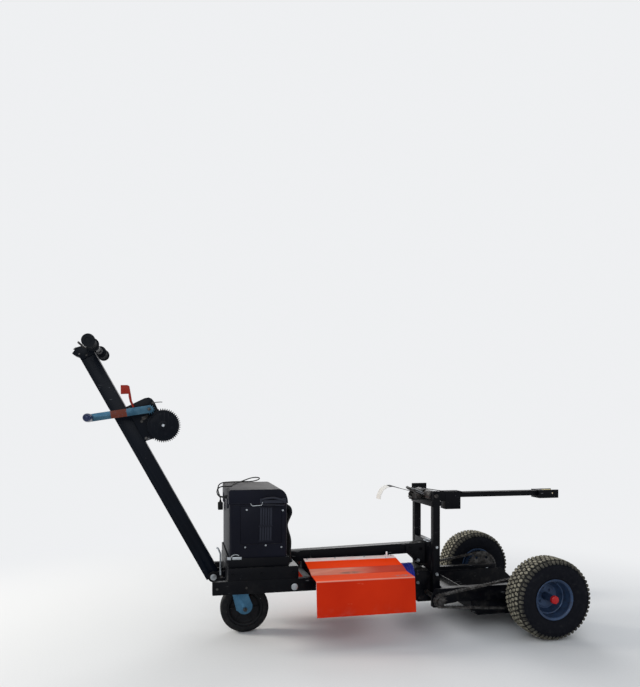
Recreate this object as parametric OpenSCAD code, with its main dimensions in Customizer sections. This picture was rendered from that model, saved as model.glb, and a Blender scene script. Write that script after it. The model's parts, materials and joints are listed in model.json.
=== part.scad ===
// Walk-behind electric tug with a wheel cradle, a hand winch on its tongue and a chain to each wheel.
// +X points to the lifting end, the near side is -Y and the ground is Z = 0. Millimetres.
// Pieces are placed from the rear axle: their own X = 0 is the axle, and at_axle() moves them there.

/* [Drive wheels] */
// Outside diameter of a drive tyre
tyre_d = 330; // [310:1:350]
// Width of a drive tyre
tyre_w = 125; // [110:1:135]
// Distance between the middles of the two drive tyres
track_w = 690; // [680:1:760]
// Diameter of the seat that the tyre's bead sits on
rim_seat_d = 152; // [145:1:160]
// Height of the rim's lip over the bead seat
rim_lip_h = 7; // [5:1:12]
// Thickness of the pressed rim
rim_wall = 4; // [3:0.5:6]
// How far the dish of the rim lies inside the middle of the tyre
dish_depth = 22; // [10:1:30]
// Diameter of the wheel hub
hub_d = 30; // [28:1:40]
// Diameter of the fixed stub axle
stub_d = 20; // [16:1:24]
// Free play all round a turning shaft in its bore
shaft_play = 0.05; // [0.02:0.01:0.1]

/* [Chain drive] */
// Pitch of the roller chain
chain_pitch = 12.7; // [12.7:0.1:13.1]
// Number of links in one chain
chain_links = 92; // [92:2:96]
// Teeth of the small sprocket
small_teeth = 12; // [11:1:13]
// Teeth of the sprocket on the wheel
big_teeth = 36; // [34:1:38]
// Distance from the middle line to the plane of a chain
chain_y = 250; // [246:1:254]
// Height of the gearbox's output shaft over the ground
output_z = 147; // [140:1:155]
// Diameter of the output shaft
output_d = 20; // [18:1:22]

/* [Rear frame] */
// Outside distance over the two rear side beams
beam_span = 430; // [420:1:440]
// Width of a rear side beam
beam_w = 30; // [25:1:35]
// Height of a rear side beam
beam_h = 60; // [50:1:70]
// Wall of the square and box tubes
tube_wall = 3; // [2:0.5:4]
// Height of the cradle's floor over the ground
cradle_z = 62; // [50:1:75]
// Length of the cradle's floor
cradle_l = 360; // [330:1:400]
// Thickness of the cradle's plate
cradle_t = 4; // [3:0.5:6]

/* [Mast and arm] */
// Distance from the rear axle forward to the middle of the mast
mast_back = 395; // [390:1:400]
// Side of a mast post
post_w = 30; // [25:1:35]
// Distance between the middles of the mast posts
post_gap = 225; // [215:1:235]
// Height of the mast's top over the ground
mast_top = 585; // [560:1:620]
// Height of the foot of the mast over the ground
mast_foot = 85; // [70:1:95]
// Reach of the yoke behind the rear axle
arm_reach = 250; // [230:1:270]
// Height of the middle of the arm over the ground
arm_z = 556; // [545:1:560]
// Width of the arm's bar
arm_w = 40; // [34:1:44]
// Height of the arm's bar
arm_h = 20; // [16:1:22]
// Width of the lifting strap
strap_w = 45; // [38:1:50]
// Thickness of the lifting strap
strap_t = 2.5; // [2:0.5:3]

/* [Front frame] */
// Distance from the caster's ground point to the rear axle
wheelbase = 1210; // [1190:1:1240]
// Outside distance over the two front rails
rail_span = 410; // [400:1:420]
// Width of a front rail
rail_w = 25; // [20:1:30]
// Height of a front rail
rail_h = 52; // [45:1:56]
// Height of the rails' lower edge over the ground
rail_z = 207; // [205:1:212]
// Length of the front rails
rail_l = 411; // [400:1:420]
// Height of the deck box
deck_h = 50; // [44:1:56]
// Side of the spine beam
spine_w = 45; // [40:1:50]

/* [Caster] */
// Diameter of the caster wheel
caster_d = 203; // [190:1:204]
// Width of the caster wheel
caster_w = 50; // [44:1:54]
// How far the caster's axle trails its swivel axis
caster_trail = 28; // [22:1:36]
// Diameter of the caster's axle bolt
caster_bolt_d = 12; // [10:1:14]

/* [Battery case] */
// Length of the battery case along the tug
case_l = 235; // [220:1:240]
// Width of the battery case across the tug
case_w = 385; // [370:1:390]
// Height of the battery case's top over the ground
case_top = 615; // [590:1:640]
// Height of the case's lid
lid_h = 58; // [45:1:70]

/* [Drive covers] */
// Length of a drive cover
cover_l = 400; // [380:1:420]
// Thickness of the covers' sheet
cover_t = 3; // [2:0.5:4]
// Half of the distance over the two covers' lower edges
cover_half = 330; // [320:1:345]
// Height of the covers' lower edge over the ground
cover_foot = 132; // [120:1:145]

/* [Tongue] */
// Lean of the tongue from upright
tongue_lean = 28.7; // [24:0.1:32]
// Length of the tongue from its pivot
tongue_l = 1023; // [1000:1:1060]
// Side of the tongue's square tube
tongue_w = 60; // [54:1:64]
// Height of the tongue's pivot over the ground
pivot_z = 243; // [240:1:247]
// How far the pivot lies ahead of the caster's ground point
pivot_ahead = 131; // [128:1:138]
// Diameter of the pivot pin
pivot_d = 16; // [14:1:20]
// Length of the handlebar
handlebar_l = 480; // [440:1:520]
// Diameter of the handlebar
handlebar_d = 25; // [22:1:28]

/* [Winch] */
// Distance along the tongue from its pivot to the drum
drum_along = 645; // [630:1:670]
// Distance of the drum's axis behind the middle of the tongue
drum_out = 124; // [120:1:128]
// Diameter of the drum's core
drum_d = 56; // [48:1:60]
// Width between the winch's two side plates
winch_w = 68; // [60:1:76]
// Teeth of the winch's large gear
gear_teeth = 48; // [48:4:48]
// Module of the winch's gears
gear_module = 2.76; // [2.7:0.01:2.8]
// Length of the crank between its axes
crank_l = 226; // [215:1:235]
// Width of the crank's flat bar
crank_w = 30; // [26:1:32]
// Diameter of the crank's grip
crank_grip_d = 34; // [30:1:38]

/* [Hidden] */
$fn = 48;

// Clearance between two pieces that meet without being welded
seat_gap = 0.3;
eps = 0.01;

// Places along the tug, from the rear axle
axle_z = tyre_d / 2;
caster_x = -wheelbase;
pivot_x = caster_x - pivot_ahead;
swivel_x = caster_x - caster_trail;
mast_x = -mast_back;
mast_front = mast_x - post_w / 2;
mast_rear = mast_x + post_w / 2;

// The control box's tip is the foremost point and the yoke's tips are the rearmost ones
control_along = tongue_l + 41;
control_out = 48;
front_reach = -pivot_x + control_along * sin(tongue_lean) + control_out * cos(tongue_lean);
axle_x = (front_reach - arm_reach) / 2;

// Drive wheel
wheel_y = track_w / 2;
rim_lip_r = rim_seat_d / 2 + rim_lip_h;
bead_half = tyre_w / 2 - 12.5;
hub_in = wheel_y - chain_y + 18;
hub_out = bead_half + 2;
cap_wall = 2;
cap_depth = 10;

// Chain loop round the two sprockets, with the shaft placed where the whole chain is tight
small_r = chain_pitch / 2 / sin(180 / small_teeth);
big_r = chain_pitch / 2 / sin(180 / big_teeth);
free_links = chain_links - (small_teeth + big_teeth) / 2;
wrap_term = pow((big_teeth - small_teeth) / 2 / PI, 2);
chain_centres = chain_pitch / 4 * (free_links + sqrt(pow(free_links, 2) - 8 * wrap_term));
output_x = -sqrt(pow(chain_centres, 2) - pow(axle_z - output_z, 2));
roller_d = 7.9;
chain_inner = 8;
chain_plate = 1.5;
sprocket_t = 7;
sprocket_tip = 3.2;

// Rear frame
beam_out = beam_span / 2;
beam_in = beam_out - beam_w;
beam_z = axle_z - 5;
beam_front = output_x + output_d / 2 + 14;
beam_rear = 45;
bearing_t = 6;
cross_w = 40;

// Mast and arm
post_y = post_gap / 2;
post_in = post_y - post_w / 2;
post_out = post_y + post_w / 2;
spine_top = 350;
brace_h = 40;
roller_r = 20;
roller_x = mast_x - 3;
roller_z = mast_top - 20;
roller_pin_d = 12;
collar_d = 18;
receiver_w = arm_w + 10;
receiver_h = 42;
receiver_l = 60;
block_l = 74;
block_drop = 36;
plate_t = 6;
receiver_x = mast_rear + 8;
block_x = receiver_x + receiver_l;
arm_top = arm_z + arm_h / 2;
receiver_top = arm_z + 16;
yoke_l = 100;
yoke_x = arm_reach - yoke_l;
fork_in = 26;
fork_t = 10;
throat_x = yoke_x + 22 + fork_in;
pad_t = 6;
yoke_pin_d = 11;
yoke_pin_x = arm_reach - 30;
shelf_z = roller_z - 20;
ratchet_half = strap_w / 2 + 5;

// Front frame
rail_out = rail_span / 2;
rail_front = pivot_x - 12;
rail_rear = rail_front + rail_l;
deck_z = rail_z + rail_h;
deck_top = deck_z + deck_h;
deck_front = pivot_x + 48;
deck_step = 72;
deck_rear = rail_rear - deck_step;
sheet_t = 4;
bar_t = 20;
bar_h = 36;
case_x = deck_front + 4;
tray_h = 34;
tray_t = 3;
case_z = deck_top + tray_t;
spine_front = deck_rear;
spine_dip = 16;
saddle_w = 36;

// Caster
caster_z = caster_d / 2;
crown_z = caster_d + 8;
fork_gap = caster_w + 10;
fork_plate = 5;
kingpin_d = 14;

// Covers, as bent sheet from the spine outward and down to the skirt
cover_rear = mast_x - 170;
cover_front = cover_rear - cover_l;
skirt_lean = 15;
skirt_h = 136;
flat_w = 90;
flat_rise = 2;
band_w = 55;
band_rise = 15;
panel_rise = 20;
inner_edge = 50;
flat_in = -cover_half + skirt_lean + flat_w;
band_in = flat_in + band_w;
band_top = cover_foot + skirt_h + flat_rise + band_rise;
cover_fold = [[-cover_half, cover_foot], [-cover_half + skirt_lean, cover_foot + skirt_h],
    [flat_in, band_top - band_rise], [band_in, band_top], [-inner_edge, band_top + panel_rise]];
rib_t = 6;
rib_back = 30;
rib_rear = 24;
rib_depth = 24;
rib_web = 32;

// Winch
pinion_teeth = 12;
pinion_r = gear_module * pinion_teeth / 2;
gear_r = gear_module * gear_teeth / 2;
gear_reach = pinion_r + gear_r;
crank_back = 15;
crank_out = drum_out - crank_back;
crank_along = drum_along + sqrt(pow(gear_reach, 2) - pow(crank_back, 2));
crank_tilt = -70.5;
winch_plate = 3;
winch_side = winch_w / 2 + winch_plate;
gear_t = 8;
gear_y = winch_side + 4;
winch_pin_d = 14;
crank_y = 98;
crank_t = 6;
crank_grip_l = 85;

// Places a child at the rear axle's station
module at_axle() { translate([axle_x, 0, 0]) children(); }

// Places a child in the tongue's own frame: X behind the tube, Z along it from the pivot
module on_tongue() {
    at_axle() translate([pivot_x, 0, pivot_z]) rotate([0, -tongue_lean, 0]) children();
}

// Draws a child for the near side and again, mirrored, for the far side
module both_sides() {
    children();
    mirror([0, 1, 0]) children();
}

// Draws a near-side child on the side that is asked for
module on_side(far) {
    if (far) mirror([0, 1, 0]) children();
    else children();
}

// Round bar along Y
module rod_y(d, y0, y1) { translate([0, y0, 0]) rotate([-90, 0, 0]) cylinder(d = d, h = y1 - y0); }

// Flat child in X and Z, as thick as from y0 to y1
module slab_y(y0, y1) { translate([0, y1, 0]) rotate([90, 0, 0]) linear_extrude(y1 - y0) children(); }

// Flat child in Y and Z, as long as from x0 to x1
module run_x(x0, x1) { translate([x0, 0, 0]) rotate([90, 0, 90]) linear_extrude(x1 - x0) children(); }

// Box between two corners
module span(low, high) { translate(low) cube(high - low); }

// Square or box tube in Y and Z, before it is run along X
module tube_outline(w, h, wall) {
    difference() {
        square([w, h], center = true);
        square([w - 2 * wall, h - 2 * wall], center = true);
    }
}

// Left normal of a line, and a bent sheet's outline from the points along one of its faces
function normal_of(a, b) = [a.y - b.y, b.x - a.x] / norm(b - a);
function face_point(p, i, t) =
    i == 0 ? p[0] + t * normal_of(p[0], p[1])
    : i == len(p) - 1 ? p[i] + t * normal_of(p[i - 1], p[i])
    : let (n1 = normal_of(p[i - 1], p[i]), n2 = normal_of(p[i], p[i + 1]), b = (n1 + n2) / norm(n1 + n2))
      p[i] + b * t / (b * n1);
function bent_sheet(p, t) = concat(p, [for (i = [len(p) - 1 : -1 : 0]) face_point(p, i, t)]);

// Points of an arc with its own radius each way
function arc_points(c, rx, ry, a0, a1, n) =
    [for (i = [0 : n]) let (a = a0 + (a1 - a0) * i / n) [c.x + rx * cos(a), c.y + ry * sin(a)]];

// Outline of a toothed wheel with a tooth on its own X axis
function tooth_points(n, root_r, tip_r, root_share, tip_share) =
    [for (i = [0 : n - 1], k = [0 : 3])
        let (share = (k == 0 || k == 3) ? root_share : tip_share,
             side = k < 2 ? -1 : 1,
             a = 360 / n * (i + side * share / 2),
             r = (k == 0 || k == 3) ? root_r : tip_r)
        [r * cos(a), r * sin(a)]];

// Tube swept along points: one ring of sides round each point
function tangent_at(p, i) =
    let (a = p[max(i - 1, 0)], b = p[min(i + 1, len(p) - 1)]) (b - a) / norm(b - a);
function side_of(t) = let (h = abs(t.z) > 0.9 ? [0, 1, 0] : [0, 0, 1], s = cross(t, h)) s / norm(s);
function ring_at(p, i, r, n) =
    let (t = tangent_at(p, i), u = side_of(t), v = cross(t, u))
    [for (k = [0 : n - 1]) p[i] + r * (cos(360 * k / n) * u + sin(360 * k / n) * v)];
module swept_tube(p, d, n) {
    rings = [for (i = [0 : len(p) - 1]) each ring_at(p, i, d / 2, n)];
    last = (len(p) - 1) * n;
    walls = [for (i = [0 : len(p) - 2], k = [0 : n - 1])
        [i * n + k, i * n + (k + 1) % n, (i + 1) * n + (k + 1) % n, (i + 1) * n + k]];
    caps = [[for (k = [n - 1 : -1 : 0]) k], [for (k = [0 : n - 1]) last + k]];
    polyhedron(rings, concat(walls, caps));
}

// Drive wheels, drawn for the near side with their outer face towards -Y

module wheel_revolve(far) {
    at_axle() on_side(far) translate([0, -wheel_y, axle_z]) rotate([90, 0, 0]) rotate_extrude($fn = 96) children();
}

module tyre(far) {
    shoulder = 26;
    belly = tyre_d / 2 - shoulder;
    half = tyre_w / 2;
    color("#1c1d20") wheel_revolve(far) {
        translate([belly - eps, -half + shoulder]) square([shoulder + eps, tyre_w - 2 * shoulder]);
        for (s = [-1, 1]) translate([belly, s * (half - shoulder)]) circle(r = shoulder);
        polygon([[rim_seat_d / 2 + seat_gap, -bead_half], [rim_lip_r + 1, -bead_half], [belly, -half],
            [belly, half], [rim_lip_r + 1, bead_half], [rim_seat_d / 2 + seat_gap, bead_half]]);
    }
}

module rim(far) {
    seat = rim_seat_d / 2;
    lip_in = bead_half + seat_gap;
    bore = stub_d / 2 + shaft_play;
    color("#7f8ba0") wheel_revolve(far) {
        translate([seat - rim_wall, -lip_in]) square([rim_wall, 2 * lip_in]);
        for (s = [-1, 1]) translate([seat - rim_wall, s > 0 ? lip_in : -lip_in - rim_wall])
            square([rim_lip_h + rim_wall, rim_wall]);
        polygon([[bore, -dish_depth - rim_wall], [seat - 16, -dish_depth - rim_wall], [seat - 2, -dish_depth + 8],
            [seat - 2, -dish_depth + 14], [seat - 20, -dish_depth], [bore, -dish_depth]]);
        translate([bore, -hub_in]) square([hub_d / 2 - bore, hub_in + hub_out]);
        translate([bore, sprocket_t / 2 - (wheel_y - chain_y)]) square([40 - bore, 5]);
    }
}

module wheel_sprocket(far) {
    color("#2b2c2f") at_axle() on_side(far) translate([0, -chain_y, axle_z])
        slab_y(-sprocket_t / 2, sprocket_t / 2) difference() {
            polygon(tooth_points(big_teeth, big_r - roller_d / 2, big_r + sprocket_tip, 0.62, 0.24));
            circle(d = hub_d + 2 * seat_gap);
            for (a = [0 : 60 : 300]) rotate(a) translate([big_r * 0.72, 0]) circle(d = 14);
        }
}

module hub_cap(far) {
    color("#c0392f") wheel_revolve(far) difference() {
        translate([0, hub_out - 6]) square([hub_d / 2 + cap_wall, cap_depth + 4]);
        translate([-eps, hub_out - 7]) square([hub_d / 2 + seat_gap, 12]);
    }
}

module stub_axles() {
    tip = wheel_y + hub_out - 2;
    color("#8f9499") at_axle() both_sides() translate([0, 0, axle_z]) {
        rod_y(stub_d, -tip, -beam_in - 1);
        rod_y(stub_d + 10, -wheel_y + hub_in + seat_gap, -beam_out - bearing_t - seat_gap);
    }
}

// Rear frame and cradle

module rear_frame() {
    beam_bore = stub_d + 2 * seat_gap;
    color("#1d1f22") at_axle() difference() {
        union() {
            both_sides() {
                translate([0, -beam_out + beam_w / 2, beam_z]) run_x(beam_front, beam_rear)
                    tube_outline(beam_w, beam_h, tube_wall);
                slab_y(-beam_out - bearing_t, -beam_out) polygon([[output_x - 26, output_z - 30],
                    [beam_front + 60, beam_z - beam_h / 2], [beam_front + 60, beam_z + beam_h / 2],
                    [output_x - 12, beam_z + beam_h / 2], [output_x - 26, output_z + 14]]);
                slab_y(-beam_out - bearing_t + eps, -beam_out + eps) translate([0, axle_z]) circle(d = stub_d + 34);
            }
            translate([mast_rear + cross_w / 2, 0, beam_z]) rotate([0, 0, 90]) run_x(-beam_in, beam_in)
                tube_outline(cross_w, cross_w, tube_wall);
        }
        translate([0, 0, axle_z]) rod_y(beam_bore, -beam_out - 20, beam_out + 20);
        translate([output_x, 0, output_z])
            rod_y(output_d + 2 * shaft_play, -beam_out - 20, beam_out + 20);
    }
}

module cradle_pan() {
    front = -cradle_l * 0.64;
    rear = cradle_l + front;
    side_t = 5;
    floor_line = [[front - 34, cradle_z + 98], [front - 30, cradle_z + 42], [front, cradle_z],
        [rear, cradle_z], [rear + 84, cradle_z - 38]];
    color("#24262a") at_axle() {
        slab_y(-beam_in + side_t, beam_in - side_t) polygon(bent_sheet(floor_line, cradle_t));
        both_sides() slab_y(-beam_in, -beam_in + side_t) polygon([[front - 36, cradle_z + 100],
            [front - 30, cradle_z + 10], [front, cradle_z - 2], [rear, cradle_z - 2],
            [rear + 84, cradle_z - 40], [rear + 84, cradle_z - 22], [rear + 20, cradle_z + 40],
            [rear - 60, cradle_z + 110], [front - 36, cradle_z + 110]]);
    }
}

// Mast

module mast_posts() {
    color("#17181b") at_axle() difference() {
        both_sides() translate([mast_x, -post_y, 0]) rotate([0, -90, 0]) run_x(mast_foot, mast_top)
            tube_outline(post_w, post_w, tube_wall);
        translate([roller_x, 0, roller_z]) rod_y(roller_pin_d + 2 * seat_gap, -post_out - 9, post_out + 9);
    }
}

module mast_braces() {
    color("#17181b") at_axle() {
        translate([mast_x, 0, spine_top + 14 - brace_h / 2]) rotate([0, 0, 90]) run_x(-post_in, post_in)
            tube_outline(post_w, brace_h, tube_wall);
        span([mast_front, -post_in, spine_top - 110], [mast_front + plate_t, post_in, spine_top - brace_h + 14]);
        both_sides() slab_y(-spine_w / 2 - plate_t, -spine_w / 2) polygon([[mast_front, spine_top],
            [mast_front - 90, spine_top - 4], [mast_front - 90, spine_top - 34],
            [mast_front - 26, spine_top - 92], [mast_front, spine_top - 92]]);
        span([mast_rear, -post_out, arm_z - 34], [receiver_x, post_out, arm_z - 14]);
        span([mast_front - 56, -ratchet_half, shelf_z - 5], [mast_front, ratchet_half, shelf_z]);
        span([mast_front - plate_t, -post_out, shelf_z - 26], [mast_front, post_out, shelf_z]);
        translate([0, post_out + plate_t, 0]) slab_y(-plate_t, 0) difference() {
            translate([roller_x - 14, roller_z - 38]) square([72, 74]);
            translate([roller_x, roller_z]) circle(d = roller_pin_d + 2 * seat_gap);
        }
    }
}

module strap_roller() {
    color("#3a3a3c") at_axle() translate([roller_x, 0, roller_z]) {
        rod_y(2 * roller_r, -post_in + 4, post_in - 4);
        rod_y(roller_pin_d, -post_out - 2, post_out + plate_t + 2);
        rod_y(collar_d, -post_out - 6, -post_out - seat_gap);
        rod_y(collar_d, post_out + plate_t + seat_gap, post_out + plate_t + 6);
    }
}

ratchet_x = mast_front - 36;
spool_r = 9;
module ratchet() {
    cheek = 3;
    color("#b4b8bc") at_axle() {
        both_sides() slab_y(-ratchet_half, -ratchet_half + cheek) polygon([[ratchet_x - 18, shelf_z],
            [ratchet_x + 20, shelf_z], [ratchet_x + 20, shelf_z + 14], [ratchet_x + 14, shelf_z + 34],
            [ratchet_x - 12, shelf_z + 34], [ratchet_x - 22, shelf_z + 18]]);
        translate([ratchet_x, 0, shelf_z + 17]) rod_y(2 * spool_r, -ratchet_half + cheek - eps, ratchet_half - cheek + eps);
        translate([ratchet_x - 20, 0, shelf_z + 6]) rod_y(8, -ratchet_half + cheek - eps, ratchet_half - cheek + eps);
    }
}

// Route of the strap in X and Z, from the yoke over the roller and the ratchet to its curled tail
lap = strap_t / 2 + seat_gap;
strap_route = concat(
    [[yoke_x - 4, arm_top + lap], [block_x + block_l + 14, arm_top + lap],
     [block_x + block_l + 2, receiver_top + lap], [block_x, receiver_top + lap]],
    arc_points([roller_x, roller_z], roller_r + lap, roller_r + lap, 82, 109, 3),
    [for (x = [5, -5]) [ratchet_x + x, shelf_z + 17 + spool_r + lap]],
    [[ratchet_x - 60, shelf_z + 42], [ratchet_x - 112, shelf_z + 57], [ratchet_x - 136, shelf_z + 55],
     [ratchet_x - 156, shelf_z + 42], [ratchet_x - 168, shelf_z + 20], [ratchet_x - 172, shelf_z]]);

module lift_strap() {
    low_face = [for (i = [0 : len(strap_route) - 1]) face_point(strap_route, i, strap_t / 2)];
    color("#cfcac0") at_axle() slab_y(-strap_w / 2, strap_w / 2) polygon(bent_sheet(low_face, -strap_t));
}

// Arm

module arm_receiver() {
    foot = receiver_top - receiver_h;
    color("#17181b") at_axle() difference() {
        union() {
            span([receiver_x, -receiver_w / 2, foot], [block_x, receiver_w / 2, receiver_top]);
            span([block_x, -receiver_w / 2 - 2, foot - block_drop],
                [block_x + block_l, receiver_w / 2 + 2, receiver_top]);
        }
        translate([0, 0, arm_z]) run_x(receiver_x - 1, block_x + block_l + 1)
            square([arm_w + 2 * seat_gap, arm_h + 2 * seat_gap], center = true);
    }
}

module arm_bar() {
    color("#17181b") at_axle() translate([0, 0, arm_z]) run_x(receiver_x + 4, yoke_x) tube_outline(arm_w, arm_h, tube_wall);
}

module yoke() {
    half = fork_in + fork_t;
    color("#17181b") at_axle() difference() {
        translate([0, 0, arm_z - 22]) linear_extrude(38) difference() {
            union() {
                translate([yoke_x, -half]) square([yoke_l - fork_t / 2, 2 * half]);
                for (s = [-1, 1]) translate([arm_reach - fork_t / 2, s * (fork_in + fork_t / 2)]) circle(d = fork_t);
            }
            translate([throat_x, 0]) circle(r = fork_in);
            translate([throat_x, -fork_in]) square([yoke_l, 2 * fork_in]);
        }
        translate([yoke_pin_x, 0, arm_z]) rod_y(yoke_pin_d, -half - 1, half + 1);
    }
}

module yoke_pads() {
    color("#d9c98a") at_axle() difference() {
        both_sides() span([throat_x, -fork_in + seat_gap, arm_z - 14], [arm_reach - 8, -fork_in + pad_t, arm_z + 14]);
        translate([yoke_pin_x, 0, arm_z]) rod_y(yoke_pin_d + 1, -fork_in - 1, fork_in + 1);
    }
}

// Spine and front frame

module spine_side(w) {
    mid = spine_top - spine_w / 2;
    polygon([[spine_front, mid - spine_dip - w / 2], [mast_front, mid - w / 2],
        [mast_front, mid + w / 2], [spine_front, mid - spine_dip + w / 2]]);
}

module spine_beam() {
    inner = spine_w - 2 * tube_wall;
    color("#1d1f22") at_axle() {
        difference() {
            slab_y(-spine_w / 2, spine_w / 2) spine_side(spine_w);
            slab_y(-inner / 2, inner / 2) spine_side(inner);
        }
        slab_y(-saddle_w / 2, saddle_w / 2) difference() {
            translate([rail_rear - 25, deck_z]) square([30, spine_top - spine_w / 2 - spine_dip - deck_z]);
            spine_side(spine_w - 1);
        }
    }
}

module front_rails() {
    inner = rail_out - rail_w;
    color("#1d1f22") at_axle() {
        both_sides() translate([0, -rail_out + rail_w / 2, rail_z + rail_h / 2]) run_x(rail_front, rail_rear)
            tube_outline(rail_w, rail_h, tube_wall);
        for (x = [deck_front + bar_t / 2, rail_rear - bar_t / 2]) translate([x, 0, deck_z - bar_h / 2])
            rotate([0, 0, 90]) run_x(-inner, inner) tube_outline(bar_t, bar_h, tube_wall);
        span([deck_front, -inner, deck_z - 6], [swivel_x + 60, inner, deck_z]);
    }
}

module deck_box() {
    color("#202226") at_axle() difference() {
        span([deck_front, -rail_out, deck_z], [deck_rear, rail_out, deck_top]);
        span([deck_front + sheet_t, -rail_out + sheet_t, deck_z - 1],
            [deck_rear - sheet_t, rail_out - sheet_t, deck_top - sheet_t]);
    }
}

module battery_tray() {
    x1 = case_x + case_l + tray_t;
    y1 = case_w / 2 + tray_t + seat_gap;
    color("#1a1b1e") at_axle() difference() {
        span([case_x - tray_t, -y1, deck_top], [x1, y1, case_z + tray_h]);
        span([case_x - seat_gap, -y1 + tray_t, case_z], [x1 - tray_t + seat_gap, y1 - tray_t, case_z + tray_h + 1]);
    }
}

// Battery case: a square front shoulder and a large round rear shoulder, as in its end view
module case_outline(inset, foot, top) {
    x0 = case_x + inset;
    x1 = case_x + case_l - inset;
    polygon(concat([[x0, foot], [x1, foot]], top < case_top - 1 ? [[x1, top]]
        : arc_points([x1 - 36, top - 56], 36, 56, 0, 90, 8), [[x0 + 6, top], [x0, top - 6]]));
}

gland_d = 16;
gland_seat = 6;
module battery_case() {
    half = case_w / 2;
    lid_z = case_top - lid_h;
    color("#23272b") at_axle() difference() {
        union() {
            slab_y(-half + 3, half - 3) case_outline(3, case_z, lid_z + 1);
            slab_y(-half, half) case_outline(seat_gap, lid_z, case_top);
        }
        slab_y(-half + 3 - 1, -half + 3 + 4) panel_outline(seat_gap);
    }
    color("#23272b") at_axle() translate([case_x + gland_seat, lead_route[0].y, lead_route[0].z])
        rotate([0, -90, 0]) cylinder(d = gland_d, h = case_x + gland_seat - lead_route[0].x);
}

// The vented panel sits in a shallow recess of the near end, below the lid
panel_l = 165;
panel_h = 150;
module panel_outline(gap) {
    translate([case_x + case_l / 2 - panel_l / 2 + 30 - gap - 20, case_top - lid_h - 8 - panel_h - gap])
        square([panel_l + 2 * gap, panel_h + 2 * gap]);
}

module vent_panel() {
    near = -case_w / 2 + 3 + 4 - seat_gap;
    color("#2b2f35") at_axle() {
        slab_y(near - 5, near) panel_outline(0);
        for (v = [[58, 66, 8], [56, 48, 86]], k = [0 : 4])
            translate([case_x + 76 + v[0] + 10 * k, near - 8, case_top - lid_h - 8 - v[2] - v[1]]) cube([5, 4, v[1]]);
    }
}

module case_handle() {
    z = case_top - lid_h + 18;
    out = case_w / 2;
    color("#2b2f35") at_axle() translate([case_x + 95, -out, z]) {
        for (x = [0, 110]) translate([x, -10, 0]) cube([12, 10 - seat_gap, 22]);
        translate([0, -18, 4]) cube([122, 8 + eps, 14]);
    }
}

// Two power cables bulge from the case's rear face down to the deck, as distances behind it and over the deck
cable_d = 12;
cable_ys = [-110, -60];
cable_line = [[-3, 226], [5, 226], [14, 223], [21, 214], [23, 199], [19, 184], [12, 169], [7, 153], [8, 136],
    [13, 119], [18, 102], [21, 84], [21, 66], [20, 48], [20, 31], [20, 15], [20, seat_gap]];
function cable_route(y) = [for (q = cable_line) [case_x + case_l + q.x, y, deck_top + q.y]];
module power_cables() {
    color("#111214") at_axle() for (y = cable_ys) swept_tube(cable_route(y), cable_d, 10);
}

// Charging lead, as distances from the case's front top edge: from its gland on the case's front face, over the edge, round one low raised bend on the
// lid, back along the far side and over the edge again to the plug that hangs against the front face
lead_d = 5;
lead_line = [
    [-12, -60, -40], [-17, -60, -40], [-28, -60, -37], [-36, -60, -29], [-39, -60, -18], [-36, -60, -7],
    [-28, -60, 0], [-17, -60, 3], [-5, -59, 3], [6, -54, 3], [15, -46, 3], [21, -35, 3], [24, -22, 3],
    [26, -8, 3], [28, 6, 3], [30, 20, 3], [33, 34, 3], [37, 48, 3], [43, 61, 3], [51, 73, 4], [61, 84, 6],
    [72, 93, 9], [85, 101, 13], [98, 107, 17], [111, 112, 21], [125, 116, 24], [139, 120, 25], [151, 127, 24],
    [159, 137, 21], [161, 149, 16], [156, 160, 11], [146, 168, 7], [133, 172, 4], [119, 173, 3], [105, 173, 3],
    [91, 173, 3], [77, 173, 3], [63, 172, 3], [49, 170, 3], [35, 166, 3], [22, 160, 3], [10, 153, 3],
    [-2, 147, 2], [-13, 143, -2], [-21, 140, -10], [-24, 138, -21], [-23, 137, -33], [-20, 137, -44],
    [-16, 137, -55], [-13, 137, -66], [-13, 137, -72]];
lead_route = [for (q = lead_line) [case_x + q.x, q.y, case_top + q.z]];
plug_l = 44;
module charge_lead() {
    color("#15171a") at_axle() swept_tube(lead_route, lead_d, 8);
}
module charge_plug() {
    tail = lead_route[len(lead_route) - 1];
    color("#15171a") at_axle() translate(tail) {
        translate([0, 0, -10]) cylinder(d = 11, h = 10);
        translate([-11, -13, -plug_l]) cube([22, 26, plug_l - 10 + eps]);
    }
}

// Covers

module cover_outline(t) { polygon(bent_sheet(cover_fold, -t)); }

module cover(far) {
    color("#e8541c") at_axle() on_side(far) run_x(cover_front, cover_rear) cover_outline(cover_t);
}

module cover_ribs() {
    top = spine_top - spine_dip;
    color("#1a1b1e") at_axle() both_sides() for (x = [cover_front + rib_back, cover_rear - rib_rear])
        run_x(x, x + rib_t) polygon(concat(
            [for (i = [0 : 4]) face_point(cover_fold, i, -cover_t - seat_gap)],
            [[-spine_w / 2, top - 12], [-spine_w / 2, top - 12 - rib_web],
             [band_in - rib_web / 3, band_top - rib_depth - 5], [-cover_half + skirt_lean + 19, cover_foot + skirt_h - rib_depth - 2],
             [-cover_half + skirt_lean + 5, cover_foot + rib_depth - 4]]));
}

// Motor and gearbox

gearbox_front = 59;
gearbox_top = 90;
gearbox_drop = 42;
motor_d = 112;
motor_l = 154;
motor_lift = 66;
motor_aside = 58;
end_bell_d = 84;
end_bell_l = 12;
module motor() {
    color("#2b55b8") at_axle() translate([output_x - gearbox_front, -motor_aside, output_z + motor_lift]) rotate([0, -90, 0]) {
        cylinder(d = motor_d, h = motor_l);
        translate([0, 0, motor_l - eps]) cylinder(d = end_bell_d, h = end_bell_l);
    }
}

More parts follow.
